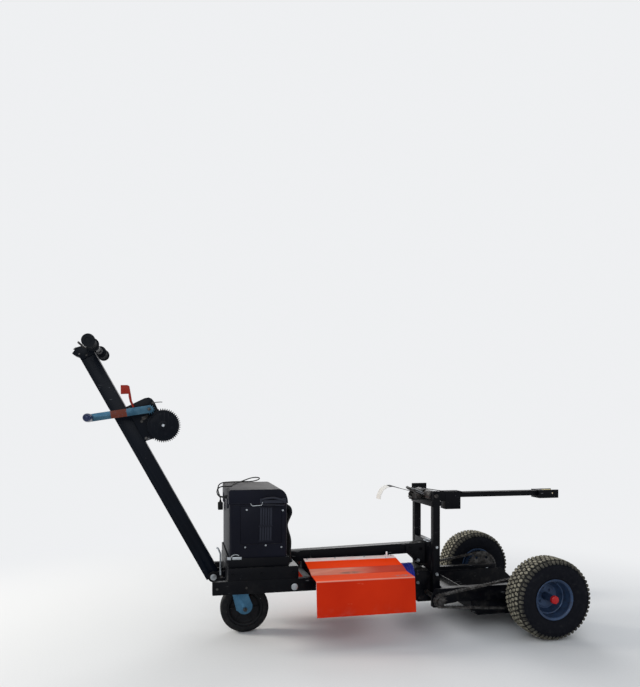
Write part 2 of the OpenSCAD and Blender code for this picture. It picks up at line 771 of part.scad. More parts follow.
module gearbox() {
    half = post_in - 5;
    front = output_x - gearbox_front;
    color("#2a2c30") at_axle() difference() {
        slab_y(-half, half) polygon([[front, output_z - gearbox_drop + 22], [front + 20, output_z - gearbox_drop],
            [mast_rear, output_z - gearbox_drop], [mast_rear, output_z + gearbox_top - 42],
            [mast_front - 4, output_z + gearbox_top], [front, output_z + gearbox_top]]);
        translate([output_x, 0, output_z]) rod_y(output_d + 2 * shaft_play, -half - 1, half + 1);
    }
}

module drive_sprocket(far) {
    color("#2b2c2f") at_axle() on_side(far) translate([output_x, 0, output_z]) {
        rod_y(output_d, -chain_y - 14, -post_in + 30);
        translate([0, -chain_y, 0]) slab_y(-sprocket_t / 2, sprocket_t / 2)
            polygon(tooth_points(small_teeth, small_r - roller_d / 2, small_r + sprocket_tip, 0.62, 0.24));
        translate([0, -chain_y, 0]) rod_y(output_d + 12, -12, 0);
    }
}

// Roller chain: side plates all the way round, and rollers where the runs are free of the teeth
run_l = sqrt(pow(chain_centres, 2) - pow(big_r - small_r, 2));
lean_a = asin((big_r - small_r) / chain_centres);
line_a = atan2(axle_z - output_z, -output_x);
small_wrap = (180 - 2 * lean_a) * PI / 180 * small_r;
big_wrap = (180 + 2 * lean_a) * PI / 180 * big_r;
loop_l = 2 * run_l + small_wrap + big_wrap;

// Point of the loop at a distance from the top run's start, moved out by h, in a frame with the small
// sprocket at the origin and the big one on +X
function loop_point(s, h) =
    let (q = s - loop_l * floor(s / loop_l), up = [-sin(lean_a), cos(lean_a)], down = [-sin(lean_a), -cos(lean_a)])
    q < run_l
        ? up * (small_r + h) + [cos(lean_a), sin(lean_a)] * q
    : q < run_l + big_wrap
        ? let (a = 90 + lean_a - (q - run_l) / big_r * 180 / PI)
          [chain_centres, 0] + (big_r + h) * [cos(a), sin(a)]
    : q < 2 * run_l + big_wrap
        ? down * (small_r + h) + [cos(lean_a), -sin(lean_a)] * (2 * run_l + big_wrap - q)
        : let (a = 270 - lean_a - (q - 2 * run_l - big_wrap) / small_r * 180 / PI)
          (small_r + h) * [cos(a), sin(a)];

module chain_band() {
    outer = [for (i = [0 : 2 * chain_links - 1]) loop_point(i * loop_l / chain_links / 2, i % 2 == 0 ? 5.8 : 4.2)];
    inner_stations = concat([0, run_l], [for (k = [1 : 11]) run_l + big_wrap * k / 12],
        [run_l + big_wrap, 2 * run_l + big_wrap], [for (k = [1 : 5]) 2 * run_l + big_wrap + small_wrap * k / 6]);
    difference() {
        polygon(outer);
        polygon([for (s = inner_stations) loop_point(s, -5)]);
    }
}

module drive_chains() {
    clear_small = sqrt(pow(small_r + sprocket_tip + roller_d / 2 + 1, 2) - pow(small_r, 2));
    clear_big = sqrt(pow(big_r + sprocket_tip + roller_d / 2 + 1, 2) - pow(big_r, 2));
    pitch = loop_l / chain_links;
    top = [for (i = [0 : chain_links]) if (i * pitch > clear_small && i * pitch < run_l - clear_big) i * pitch];
    bottom = [for (i = [0 : chain_links])
        let (s = i * pitch - run_l - big_wrap) if (s > clear_big && s < run_l - clear_small) i * pitch];
    color("#3a3530") at_axle() both_sides() translate([output_x, -chain_y, output_z]) rotate([0, -line_a, 0]) {
        for (side = [-1, 1]) slab_y(side * (chain_inner / 2 + chain_plate / 2) - chain_plate / 2,
            side * (chain_inner / 2 + chain_plate / 2) + chain_plate / 2) chain_band();
        slab_y(-chain_inner / 2 - eps, chain_inner / 2 + eps) for (s = concat(top, bottom))
            translate(loop_point(s, 0)) circle(d = roller_d, $fn = 6);
    }
}

// Caster

module caster_plate() {
    plate_z = deck_z - 12;
    color("#9aa3ab") at_axle() translate([swivel_x, 0, 0]) {
        span([-34, -57, plate_z], [34, 57, plate_z + 6]);
        translate([0, 0, crown_z + 6 + seat_gap]) cylinder(d = 64, h = plate_z - crown_z - 6 - seat_gap + eps);
        translate([0, 0, crown_z + 0.5]) cylinder(d = kingpin_d, h = 10);
    }
}

module caster_fork() {
    side_in = fork_gap / 2;
    color("#a9b4bf") at_axle() difference() {
        union() {
            translate([swivel_x, 0, crown_z]) translate([-38, -side_in - fork_plate, 0]) cube([76, fork_gap + 2 * fork_plate, 6]);
            both_sides() slab_y(-side_in - fork_plate, -side_in) {
                polygon([[swivel_x - 38, crown_z + 6], [swivel_x + 38, crown_z + 6], [swivel_x + 42, crown_z - 52],
                    [caster_x + 30, caster_z + 18], [caster_x, caster_z - 18], [caster_x - 36, caster_z - 5]]);
                translate([caster_x - 2, caster_z + 11]) circle(r = 33);
            }
            translate([caster_x, 0, caster_z]) rod_y(caster_bolt_d, -side_in - fork_plate - 3, side_in + fork_plate + 3);
            translate([caster_x, 0, caster_z]) both_sides()
                rod_y(caster_bolt_d + 8, -side_in - fork_plate - 8, -side_in - fork_plate + eps);
        }
        translate([swivel_x, 0, crown_z - 1]) cylinder(d = kingpin_d + 2 * shaft_play, h = 8);
    }
}

module caster_revolve() {
    at_axle() translate([caster_x, 0, caster_z]) rotate([90, 0, 0]) rotate_extrude($fn = 72) children();
}

module caster_hub() {
    bore = caster_bolt_d / 2 + shaft_play;
    color("#2c2f33") caster_revolve() {
        translate([bore, -fork_gap / 2 + 1]) square([14, fork_gap - 2]);
        translate([bore + 10, -4]) square([caster_d / 2 - 40 - bore, 8]);
        translate([caster_d / 2 - 34, -caster_w / 2 + 5]) square([8, caster_w - 10]);
    }
}

module caster_tyre() {
    r = caster_d / 2;
    edge = 10;
    color("#17181a") caster_revolve() {
        translate([r - 26 + seat_gap, -caster_w / 2 + edge]) square([26 - seat_gap, caster_w - 2 * edge]);
        translate([r - 26 + seat_gap, -caster_w / 2]) square([16 - seat_gap, caster_w]);
        for (s = [-1, 1]) translate([r - edge, s * (caster_w / 2 - edge)]) circle(r = edge);
    }
}

// Tongue foot

ear_t = 8;
ear_in = tongue_w / 2 + 1;
module foot_bracket() {
    color("#1d1f22") at_axle() difference() {
        both_sides() slab_y(-ear_in - ear_t, -ear_in) {
            polygon([[pivot_x, pivot_z - 22], [deck_front, pivot_z - 22], [deck_front, pivot_z + 22], [pivot_x, pivot_z + 22]]);
            translate([pivot_x, pivot_z]) circle(r = 22);
        }
        translate([pivot_x, 0, pivot_z]) rod_y(pivot_d + 2 * shaft_play, -ear_in - ear_t - 1, ear_in + ear_t + 1);
    }
}

module latch_hook() {
    face = -ear_in - ear_t;
    color("#c5cacd") at_axle() slab_y(face - 3, face) polygon(bent_sheet([[deck_front - 16, pivot_z + 6],
        [deck_front - 16, pivot_z + 96], [deck_front - 26, pivot_z + 120], [deck_front - 34, pivot_z + 124]], 7));
}

module frame_bolts() {
    color("#c5cacd") at_axle() both_sides() {
        translate([rail_rear - 89, 0, rail_z + 20]) rod_y(27, -rail_out - 7, -rail_out);
        for (z = [spine_top - 6, beam_z]) translate([mast_x, 0, z]) rod_y(12, -post_out - 5, -post_out);
    }
}

// Tongue

module pivot_pin() {
    color("#9aa3ab") at_axle() translate([pivot_x, 0, pivot_z]) {
        rod_y(pivot_d, -ear_in - ear_t - 2, ear_in + ear_t + 2);
        both_sides() rod_y(pivot_d + 10, -ear_in - ear_t - 8, -ear_in - ear_t - seat_gap);
    }
}

module tongue_tube() {
    color("#17181b") on_tongue() difference() {
        union() {
            rotate([0, 0, 90]) rotate([0, -90, 0]) run_x(0, tongue_l) tube_outline(tongue_w, tongue_w, tube_wall);
            rod_y(40, -tongue_w / 2, tongue_w / 2);
        }
        rod_y(pivot_d + 2 * seat_gap, -tongue_w, tongue_w);
    }
}

bar_along = control_along - 20;
bar_out = tongue_w / 2 + handlebar_d / 2 + seat_gap;
module handlebar() {
    color("#17181b") on_tongue() translate([bar_out, 0, bar_along]) rod_y(handlebar_d, -handlebar_l / 2, handlebar_l / 2);
}

module grips() {
    color("#101113") on_tongue() both_sides() translate([bar_out, 0, bar_along]) difference() {
        union() {
            rod_y(36, -handlebar_l / 2 - 4, -handlebar_l / 2 + 120);
            for (y = [-handlebar_l / 2 - 4, -handlebar_l / 2 + 114]) rod_y(50, y, y + 6);
        }
        rod_y(handlebar_d + 2 * seat_gap, -handlebar_l / 2 - 0.3, -handlebar_l / 2 + 130);
    }
}

box_half = tongue_w / 2 + 4;
module control_box() {
    half = tongue_w / 2;
    color("#1b1d20") on_tongue() slab_y(-box_half, box_half) polygon([[-half, tongue_l], [half, tongue_l],
        [half, control_along - 4], [half - 14, control_along + 4], [-8, control_along + 11], [-26, control_along + 14],
        [-34, control_along + 6], [-control_out, control_along], [-control_out + 4, control_along - 10],
        [-half, control_along - 26]]);
}

module brake_lever() {
    color("#2a2c30") on_tongue() translate([0, 0, bar_along + 8]) linear_extrude(8)
        polygon(bent_sheet([[26, -box_half], [12, -50], [4, -80], [4, -handlebar_l / 2 + 20]], 7));
}

// Winch, in the tongue's own frame

module winch_outline() {
    half = tongue_w / 2;
    polygon([[half, drum_along - 22], [half + 40, drum_along - 29], [drum_out, drum_along - 30],
        [drum_out + 30, drum_along], [crank_out + 27, crank_along - 6], [crank_out + 29, crank_along + 20],
        [crank_out + 27, crank_along + 36], [crank_out + 19, crank_along + 46], [crank_out + 3, crank_along + 51],
        [half, crank_along + 54]]);
    translate([drum_out, drum_along]) circle(r = 30);
}

module winch_frame() {
    half = tongue_w / 2;
    color("#1a1b1e") on_tongue() difference() {
        union() {
            both_sides() slab_y(-winch_side, -winch_w / 2) winch_outline();
            span([half, -winch_w / 2 - eps, drum_along - 22], [half + 4, winch_w / 2 + eps, crank_along + 50]);
        }
        translate([drum_out, 0, drum_along]) rod_y(winch_pin_d + 2 * shaft_play, -winch_side - 1, winch_side + 1);
        translate([crank_out, 0, crank_along]) rod_y(winch_pin_d + 2 * shaft_play, -winch_side - 1, winch_side + 1);
    }
}

module release_lever() {
    color("#c8442c") on_tongue() slab_y(-winch_side - 8, -winch_side - seat_gap) translate([0, crank_along])
        polygon([[39, 108], [56, 140], [79, 128], [84, 121], [80, 110], [72, 86], [64, 64], [61, 38], [53, 38],
            [55, 66], [61, 86], [66, 95]]);
}

module winch_drum() {
    color("#24262a") on_tongue() translate([drum_out, 0, drum_along]) {
        rod_y(drum_d, -winch_w / 2 + 2, winch_w / 2 - 2);
        rod_y(winch_pin_d, -gear_y - gear_t, winch_side + 6);
        for (y = [-winch_w / 2 + 2, winch_w / 2 - 5]) rod_y(108, y, y + 3);
        translate([0, -gear_y, 0]) rotate([0, -90 + gear_face, 0]) slab_y(-gear_t, 0)
            polygon(tooth_points(gear_teeth, gear_r - 1.25 * gear_module, gear_r + gear_module, 0.58, 0.24));
    }
}

// Turn of the line from the drum to the crank, and the gears' phase on it
gear_face = atan2(crank_out - drum_out, crank_along - drum_along);

module crank_arm() {
    color("#b9c0c4") on_tongue() translate([crank_out, 0, crank_along]) {
        rod_y(winch_pin_d, -crank_y - crank_t, winch_side + 6);
        translate([0, -gear_y, 0]) rotate([0, gear_face + 180 / pinion_teeth, 0]) slab_y(-gear_t - 1, 1)
            polygon(tooth_points(pinion_teeth, pinion_r - 1.25 * gear_module, pinion_r + gear_module, 0.58, 0.24));
        rotate([0, crank_tilt, 0]) slab_y(-crank_y - crank_t, -crank_y) {
            polygon([[-crank_w / 2, crank_l], [-crank_w / 2, -6], [-crank_w / 2 + 6, -crank_w / 3],
                [crank_w / 2 - 6, -crank_w / 3], [crank_w / 2, -6], [crank_w / 2, crank_l]]);
            translate([0, crank_l]) circle(d = crank_w);
        }
        rotate([0, crank_tilt, 0]) translate([0, 0, crank_l]) rod_y(10, -crank_y - crank_t - crank_grip_l, -crank_y);
    }
}

module crank_grip() {
    color("#1f2a44") on_tongue() translate([crank_out, 0, crank_along]) rotate([0, crank_tilt, 0])
        translate([0, 0, crank_l]) difference() {
            rod_y(crank_grip_d, -crank_y - crank_t - crank_grip_l - 2, -crank_y - crank_t - 1);
            rod_y(10 + 2 * seat_gap, -crank_y - crank_t - crank_grip_l - 0.3, -crank_y);
        }
}

rear_frame();
cradle_pan();
stub_axles();
mast_posts();
mast_braces();
strap_roller();
ratchet();
lift_strap();
arm_receiver();
arm_bar();
yoke();
yoke_pads();
spine_beam();
front_rails();
deck_box();
battery_tray();
battery_case();
vent_panel();
case_handle();
power_cables();
charge_lead();
charge_plug();
cover_ribs();
cover(false);  // cover_near
cover(true);  // cover_far
motor();
gearbox();
drive_chains();
caster_plate();
foot_bracket();
latch_hook();
frame_bolts();
pivot_pin();
tongue_tube();
handlebar();
grips();
control_box();
brake_lever();
winch_frame();
release_lever();
winch_drum();
crank_arm();
crank_grip();
drive_sprocket(false);  // drive_sprocket_near
drive_sprocket(true);  // drive_sprocket_far
caster_fork();
caster_hub();
caster_tyre();
tyre(false);  // tyre_near
rim(false);  // rim_near
wheel_sprocket(false);  // sprocket_near
hub_cap(false);  // hub_cap_near
tyre(true);  // tyre_far
rim(true);  // rim_far
wheel_sprocket(true);  // sprocket_far
hub_cap(true);  // hub_cap_far
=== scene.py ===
"""Looks of a walk-behind tug: steel frame, turf tyres, orange covers, battery case, tongue with hand winch."""
import json
from math import asin, cos, pi, radians, sin, sqrt, tan

import bmesh
import bpy
from mathutils import Matrix, Vector

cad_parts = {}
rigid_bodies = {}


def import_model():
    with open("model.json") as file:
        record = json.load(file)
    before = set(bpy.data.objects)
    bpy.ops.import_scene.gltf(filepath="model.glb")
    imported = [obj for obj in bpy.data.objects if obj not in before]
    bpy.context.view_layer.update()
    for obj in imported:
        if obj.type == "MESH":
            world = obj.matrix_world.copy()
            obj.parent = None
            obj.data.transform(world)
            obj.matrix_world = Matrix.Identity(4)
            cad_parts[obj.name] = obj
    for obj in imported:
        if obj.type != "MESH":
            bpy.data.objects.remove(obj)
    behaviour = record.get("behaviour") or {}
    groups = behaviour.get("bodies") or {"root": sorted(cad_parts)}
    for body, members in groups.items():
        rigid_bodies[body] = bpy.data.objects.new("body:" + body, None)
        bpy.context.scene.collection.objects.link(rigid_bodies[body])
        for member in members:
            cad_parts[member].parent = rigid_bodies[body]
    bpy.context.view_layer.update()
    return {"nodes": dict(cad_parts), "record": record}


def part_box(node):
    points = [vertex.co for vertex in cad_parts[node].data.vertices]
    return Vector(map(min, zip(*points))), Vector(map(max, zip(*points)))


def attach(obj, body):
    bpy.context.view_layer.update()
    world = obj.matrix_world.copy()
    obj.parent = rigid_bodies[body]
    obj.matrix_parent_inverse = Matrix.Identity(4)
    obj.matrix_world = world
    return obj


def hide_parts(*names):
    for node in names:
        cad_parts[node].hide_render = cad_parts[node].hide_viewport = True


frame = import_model()


# Shapes are written in millimetres, which mm and local turn into the frame's metres

def middle(node):
    low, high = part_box(node)
    return (low + high) / 2


AXLE = middle("tyre_near")
AXLE.y = 0


def mm(x, y, z):
    """Millimetres from the rear axle's station, as the part's source counts them."""
    return Vector((x / 1000 + AXLE.x, y / 1000, z / 1000))


def local(x, y, z):
    """Millimetres in a shape's own frame."""
    return Vector((x / 1000, y / 1000, z / 1000))


WHEEL_Y, TREAD_HALF, SHOULDER_DROP = 0.345, 0.056, 0.01
STRAP_WIDTH, STRAP_THICK, WHITE_TAIL_FROM = 0.045, 0.0023, 0.728
SIDES = {"near": -1, "far": 1}
BOTH = (-1, 1)
TONGUE = Matrix.Translation(mm(-1341, 0, 243)) @ Matrix.Rotation(-radians(28.7), 4, "Y")
WINCH_SHAFT, CRANK_SHAFT = local(124, 0, 645), local(109, 0, 726.4)


def in_scene(name, data):
    obj = bpy.data.objects.new(name, data)
    bpy.context.scene.collection.objects.link(obj)
    return obj


def dropped(*objects):
    for obj in objects:
        bpy.data.objects.remove(obj, do_unlink=True)


# Camera at the photograph's viewing angle; the frame is taken as 640 by 687

IMAGE_LONG = 687
FOCAL_PX = 640
HORIZON_PX = 430
CAMERA_FROM_AXLE, CAMERA_ASIDE, CAMERA_HIGH, CAMERA_TURN = -1.474, -2.715, 0.85, -12.3
SENSOR_MM = 36
camera = in_scene("camera", bpy.data.cameras.new("camera"))
camera.location = (AXLE.x + CAMERA_FROM_AXLE, CAMERA_ASIDE, CAMERA_HIGH)
camera.rotation_euler = (radians(90), 0, radians(CAMERA_TURN))
camera.data.sensor_width = SENSOR_MM
camera.data.lens = SENSOR_MM * FOCAL_PX / IMAGE_LONG
camera.data.shift_y = (HORIZON_PX - IMAGE_LONG / 2) / IMAGE_LONG
bpy.context.scene.camera = camera


# Node trees: numbers as Python expressions

class Num:
    """A value in a node tree. Python's operators on it add the tree's Math nodes."""

    def __init__(self, graph, socket):
        self.graph, self.socket = graph, socket

    def calculate(self, operation, *terms):
        return self.graph.num("ShaderNodeMath", dict(enumerate(terms)), operation=operation)

    def __abs__(self): return self.calculate("ABSOLUTE", self)
    def floor(self): return self.calculate("FLOOR", self)
    def sin(self): return self.calculate("SINE", self)
    def most(self, other): return self.calculate("MAXIMUM", self, other)
    def least(self, other): return self.calculate("MINIMUM", self, other)

    def step(self, low, high):
        """0 below low, 1 above high and smooth between them."""
        return self.graph.num("ShaderNodeMapRange", {"Value": self, "From Min": low, "From Max": high}, "Result",
                              interpolation_type="SMOOTHSTEP")


for name, operation in {"add": "ADD", "sub": "SUBTRACT", "mul": "MULTIPLY", "truediv": "DIVIDE",
                        "mod": "FLOORED_MODULO", "pow": "POWER"}.items():
    setattr(Num, f"__{name}__", lambda one, two, operation=operation: one.calculate(operation, one, two))
    setattr(Num, f"__r{name}__", lambda one, two, operation=operation: one.calculate(operation, two, one))


def distance(a, b, weight_a=1, weight_b=1):
    return (a * a * weight_a + b * b * weight_b) ** 0.5


class Graph:
    """A node tree under construction."""

    def __init__(self, tree):
        self.tree = tree

    def add(self, kind, inputs=None, **settings):
        node = self.tree.nodes.new(kind)
        for name, value in settings.items():
            setattr(node, name, value)
        for name, value in (inputs or {}).items():
            value = value.socket if isinstance(value, Num) else value
            if isinstance(value, bpy.types.NodeSocket):
                self.tree.links.new(value, node.inputs[name])
            else:
                node.inputs[name].default_value = value
        return node

    def out(self, kind, inputs=None, output=0, **settings):
        """Adds a node and gives one of its outputs."""
        return self.add(kind, inputs, **settings).outputs[output]

    def num(self, kind, inputs=None, output=0, **settings):
        return Num(self, self.out(kind, inputs, output, **settings))

    def split(self, vector):
        return [Num(self, socket) for socket in self.add("ShaderNodeSeparateXYZ", {0: vector}).outputs]


class Finish(Graph):
    """A material: its layers of colour and its bump are gathered here and joined to one shader at the end."""

    def __init__(self, name):
        self.material = bpy.data.materials.new(name)
        self.material.use_nodes = True
        super().__init__(self.material.node_tree)
        self.tree.nodes.clear()
        self.place = self.out("ShaderNodeTexCoord", output="Object")
        self.x, self.y, self.z = self.split(self.place)
        self.up = self.split(self.out("ShaderNodeNewGeometry", output="Normal"))[2]
        self.bump = None

    def noise(self, scale, detail=3.0, rough=0.5, stretch=None):
        """Noise from 0 to 1 with a scale in features per metre; stretch scales the axes."""
        place = self.out("ShaderNodeMapping", {"Vector": self.place, "Scale": stretch}) if stretch else self.place
        return self.num("ShaderNodeTexNoise", {"Vector": place, "Scale": scale, "Detail": detail, "Roughness": rough})

    def patches(self, scale, low, high, detail=5, rough=0.7):
        """Noise turned into patches: 0 where it is below low, 1 where it is above high."""
        return self.noise(scale, detail, rough).step(low, high)

    def mix(self, mask, first, second):
        """Colour from first to second as mask goes from 0 to 1."""
        return self.out("ShaderNodeMix", {0: mask, 6: first, 7: second}, 2, data_type="RGBA")

    def start(self, mask, first, second):
        """The colour under all the others, from first to second with the mask."""
        self.colour = self.mix(mask, first, second)

    def lay(self, mask, colour):
        """Lays a colour over what is there, as far as the mask says."""
        self.colour = self.mix(mask, self.colour, colour)

    def relief(self, height, size):
        """Adds a bump of that many millimetres for a height of 1."""
        height = height * (size / 1000)
        self.bump = self.bump + height if self.bump else height

    def done(self, roughness, limit=0.95, metallic=0.0, coat=0.0, coat_roughness=0.1, sheen=0.0, specular=0.5):
        settings = {"Base Color": self.colour, "Roughness": roughness.least(limit), "Metallic": metallic,
                    "Coat Weight": coat, "Coat Roughness": coat_roughness, "Sheen Weight": sheen,
                    "Specular IOR Level": specular}
        if self.bump:
            settings["Normal"] = self.out("ShaderNodeBump", {"Strength": 1.0, "Distance": 1.0, "Height": self.bump})
        return self.surfaced(self.out("ShaderNodeBsdfPrincipled", settings))

    def surfaced(self, shader):
        self.add("ShaderNodeOutputMaterial", {"Surface": shader})
        return self.material


def rgb(r, g, b):
    return (r, g, b, 1.0)


def scaled(colour, share, more=0.0):
    return rgb(*(min(1, c * share + more) for c in colour[:3]))


DUST = rgb(0.36, 0.33, 0.29)
BARE = rgb(0.42, 0.43, 0.45)


def powder_coat(name, colour, rough, dust, chips=0.5, sheen_up=0.0):
    """Powder-coated steel: orange-peel relief, dust on what faces up, fine scuffs and a few chips."""
    f = Finish(name)
    grime = f.noise(22, 5, 0.65)
    scuff = f.noise(95, 2, stretch=(0.18, 1, 1)).step(0.66, 0.72) * f.patches(9, 0.52, 0.62, 2, 0.5)
    chip = f.patches(140, 0.74, 0.77, 3, 0.5) * f.patches(14, 0.55, 0.66, 2, 0.5) * chips
    settled = (f.up.step(0.35, 0.98) * 0.8 + 0.04) * grime.step(0.4, 0.78) * dust
    low = (1 - f.z.step(0.05, 0.3)) * grime.step(0.46, 0.75) * dust * 0.45
    dirt = (settled + low).least(1)
    f.start(f.patches(3.5, 0.35, 0.75, 4, 0.5), scaled(colour, 0.62), colour)
    f.lay(scuff * 0.25, BARE)
    f.lay(chip, BARE)
    f.lay(dirt, DUST)
    f.relief(f.noise(420, 1), 0.06)
    f.relief(chip, -0.08)
    return f.done(rough + grime * 0.16 + dirt * 0.42, metallic=chip * 0.8,
                  coat=f.up.step(0.85, 0.99) * sheen_up + 0.02, coat_roughness=0.16, specular=0.07)


CASTER_TOP, CASTER_BACK = 0.222, -1.13


def zinc_plate(colour):
    """Zinc-plated steel: cloudy bright metal with fine grain, stained in places, and below on the caster a blue that is
    a painted sky reflection.
    """
    f = Finish("zinc_plate")
    cloud = f.noise(28, 4)
    stain = f.patches(75, 0.52, 0.75)
    # Painted sky reflection: the caster's zinc, below CASTER_TOP and in front of CASTER_BACK, is coloured blue
    caster = (1 - f.z.step(CASTER_TOP, CASTER_TOP + 0.004)) * (1 - (f.x - AXLE.x).step(CASTER_BACK, CASTER_BACK + 0.01))
    f.start(cloud.step(0.3, 0.7), scaled(colour, 0.6), colour)
    f.lay(stain * 0.35, rgb(0.3, 0.29, 0.27))
    # The painted sky reflection is laid on the caster here
    f.lay(caster, f.mix(cloud.step(0.3, 0.7), rgb(0.035, 0.1, 0.17), rgb(0.06, 0.15, 0.24)))
    f.relief(f.noise(600, 2, stretch=(1, 0.15, 1)), 0.03)
    f.relief(stain, 0.02)
    return f.done(0.3 + cloud * 0.18 + stain * 0.25, 0.9, metallic=0.92 - stain * 0.25)


def moulded(name, colour, rough, dust, grain=0.07, coat=0.0):
    """Moulded plastic with a fine leather grain."""
    f = Finish(name)
    pebble = f.num("ShaderNodeTexVoronoi", {"Vector": f.place, "Scale": 900}, "Distance")
    tone = f.noise(7)
    film = (f.up.step(0.2, 0.95) * 0.95 + 0.02) * f.patches(30, 0.2, 0.85, rough=0.65) * dust
    f.start(tone.step(0.3, 0.75), colour, scaled(colour, 1.4, 0.001))
    f.lay(film, DUST)
    f.relief(pebble, grain)
    return f.done(rough + tone * 0.12 + film * 0.3, coat=coat, specular=0.09)


def oiled_steel(colour):
    """Dark steel of chains and sprockets: oil in the low places, bright where it rubs, some brown rust."""
    f = Finish("oiled_steel")
    oil = f.noise(60, 4)
    rust = f.patches(150, 0.56, 0.72)
    f.start(oil.step(0.35, 0.7), colour, rgb(0.085, 0.083, 0.082))
    f.lay(rust * 0.55, rgb(0.12, 0.055, 0.028))
    f.relief(f.noise(700, 2), 0.05)
    return f.done(0.42 + oil * 0.15 + rust * 0.3, metallic=0.85 - rust * 0.7)


def turf_tyre():
    """Tyre rubber: near-black walls, with pale dust on the faces that meet the ground."""
    f = Finish("turf_tyre_rubber")
    worn = f.noise(55, 5, 0.7)
    radius = distance(f.x - AXLE.x, f.z - AXLE.z)
    beside = abs(abs(f.y) - WHEEL_Y)
    shoulder = beside.step(0.04, 0.066)
    height = radius + (beside / TREAD_HALF) ** 5 * SHOULDER_DROP
    outer = height.step(0.1615, 0.164) * (1 - shoulder * 0.82)
    groove = (1 - outer) * radius.step(0.15, 0.1585) * (1 - shoulder)
    speck = f.patches(380, 0.42, 0.7, 3, 0.5)
    dust = (outer * (worn.step(0.34, 0.6) * 0.68 + 0.17) + groove * speck * 0.25
            + worn.step(0.55, 0.88) * 0.05).least(1)
    f.start(worn.step(0.3, 0.8), rgb(0.003, 0.0036, 0.0062), rgb(0.0065, 0.0072, 0.0105))
    f.lay(dust, rgb(0.34, 0.32, 0.25))
    f.relief(f.noise(520), 0.12)
    return f.done(0.7 + dust * 0.25, 0.97, specular=0.08)


def soft_rubber(name, colour, rough, dust):
    """Soft rubber or plastic jacket with a dull bloom."""
    f = Finish(name)
    bloom = f.noise(45, 4, 0.65)
    film = bloom.step(0.4, 0.8) * (f.up.step(0, 0.9) * 0.7 + 0.3) * dust
    f.start(film, colour, DUST)
    f.relief(f.noise(650, 2), 0.06)
    return f.done(rough + bloom * 0.14 + film * 0.2, specular=0.12)


# Covers, in metres: folds from the middle plane, where the dusty band fades, and the marks from the axle
INNER_FOLD, OUTER_FOLD = 0.17, 0.225
BAND_FADES = (-0.82, -0.66)
SMUDGE_AT, BOOT_PATCH_AT = (-0.8, 0.212), (-0.602, 0.285)


def orange_cover():
    """Orange powder coat: a dusty band by the shallow fold, a near-white painted highlight strip by the inner edge, a
    painted highlight along the outer fold, brighter orange on the tops than on the skirts as painted light and shade,
    one patch rubbed bare.
    """
    f = Finish("orange_powder_coat")
    grime = f.noise(26, 6, 0.68)
    streaks = f.noise(60, 4, stretch=(0.22, 1, 1))
    side, from_axle = abs(f.y), f.x - AXLE.x
    top = f.up.step(0.55, 0.9)
    panel = top * (1 - (side - INNER_FOLD).step(-0.007, 0.002))
    past_inner, past_outer = side - INNER_FOLD, side - OUTER_FOLD
    band = top * past_inner.step(-0.005, 0.004) * (1 - past_outer.step(-0.006, 0.002))
    band = band * (1 - from_axle.step(*BAND_FADES) * 0.85)
    # Painted highlight: a near-white glare strip on the top by the inner edge
    painted_glare_strip = top * (1 - side.step(0.078 + streaks * 0.006, 0.092))
    smudge = distance(from_axle - SMUDGE_AT[0], side - SMUDGE_AT[1], 130, 3000)
    # Painted highlight: a pale pinkish line along the outer fold, where the flat top turns down into the skirt
    edge = side.step(0.308, 0.3125) * (1 - side.step(0.3165, 0.32)) * f.z.step(0.262, 0.2665)
    patch = distance(from_axle - BOOT_PATCH_AT[0], side - BOOT_PATCH_AT[1], 110, 900)
    boot = (1 - patch.step(0.16, 0.62)) * f.patches(120, 0.4, 0.56) * f.up.step(0.3, 0.9)
    scratch = f.noise(75, 2, stretch=(0.12, 1, 1)).step(0.68, 0.73) * grime.step(0.48, 0.6)
    splash = (1 - f.z.step(0.136, 0.18)) * grime.step(0.46, 0.72) * 0.08
    # Painted light and shade: the skirts and inside faces keep this darker orange, and a brighter orange is laid on the
    # up-facing panel and outer flat
    f.start(f.patches(4, 0.3, 0.75, 4, 0.5), rgb(0.5, 0.022, 0.006), rgb(0.6, 0.032, 0.008))
    for mask, colour in (
            # Painted light: brighter orange on the up-facing panel and outer flat
            (panel, rgb(0.96, 0.052, 0.001)),
            (top * past_outer.step(-0.003, 0.001), rgb(0.9, 0.085, 0.024)),
            (band * (streaks.step(0.25, 0.75) * 0.3 + 0.5), rgb(0.86, 0.38, 0.27)),
            # Painted highlight: the glare strip by the inner edge
            (painted_glare_strip * (grime.step(0.3, 0.7) * 0.2 + 0.75), rgb(0.98, 0.9, 0.86)),
            ((1 - smudge.step(0.3, 0.75)) * grime.step(0.35, 0.6) * 0.6, rgb(0.16, 0.15, 0.12)),
            # Painted highlight along the outer fold
            (edge * 0.6, rgb(0.86, 0.46, 0.36)),
            (splash, DUST),
            (scratch * 0.35, rgb(0.8, 0.25, 0.14)),
            (boot * 0.85, rgb(0.3, 0.27, 0.27))):
        f.lay(mask, colour)
    f.relief(f.noise(380, 1), 0.05)
    f.relief(f.noise(5, 2), 0.6)
    f.relief(boot, -0.06)
    return f.done(0.46 + grime * 0.14 + band * 0.3 + boot * 0.3, specular=0.006)


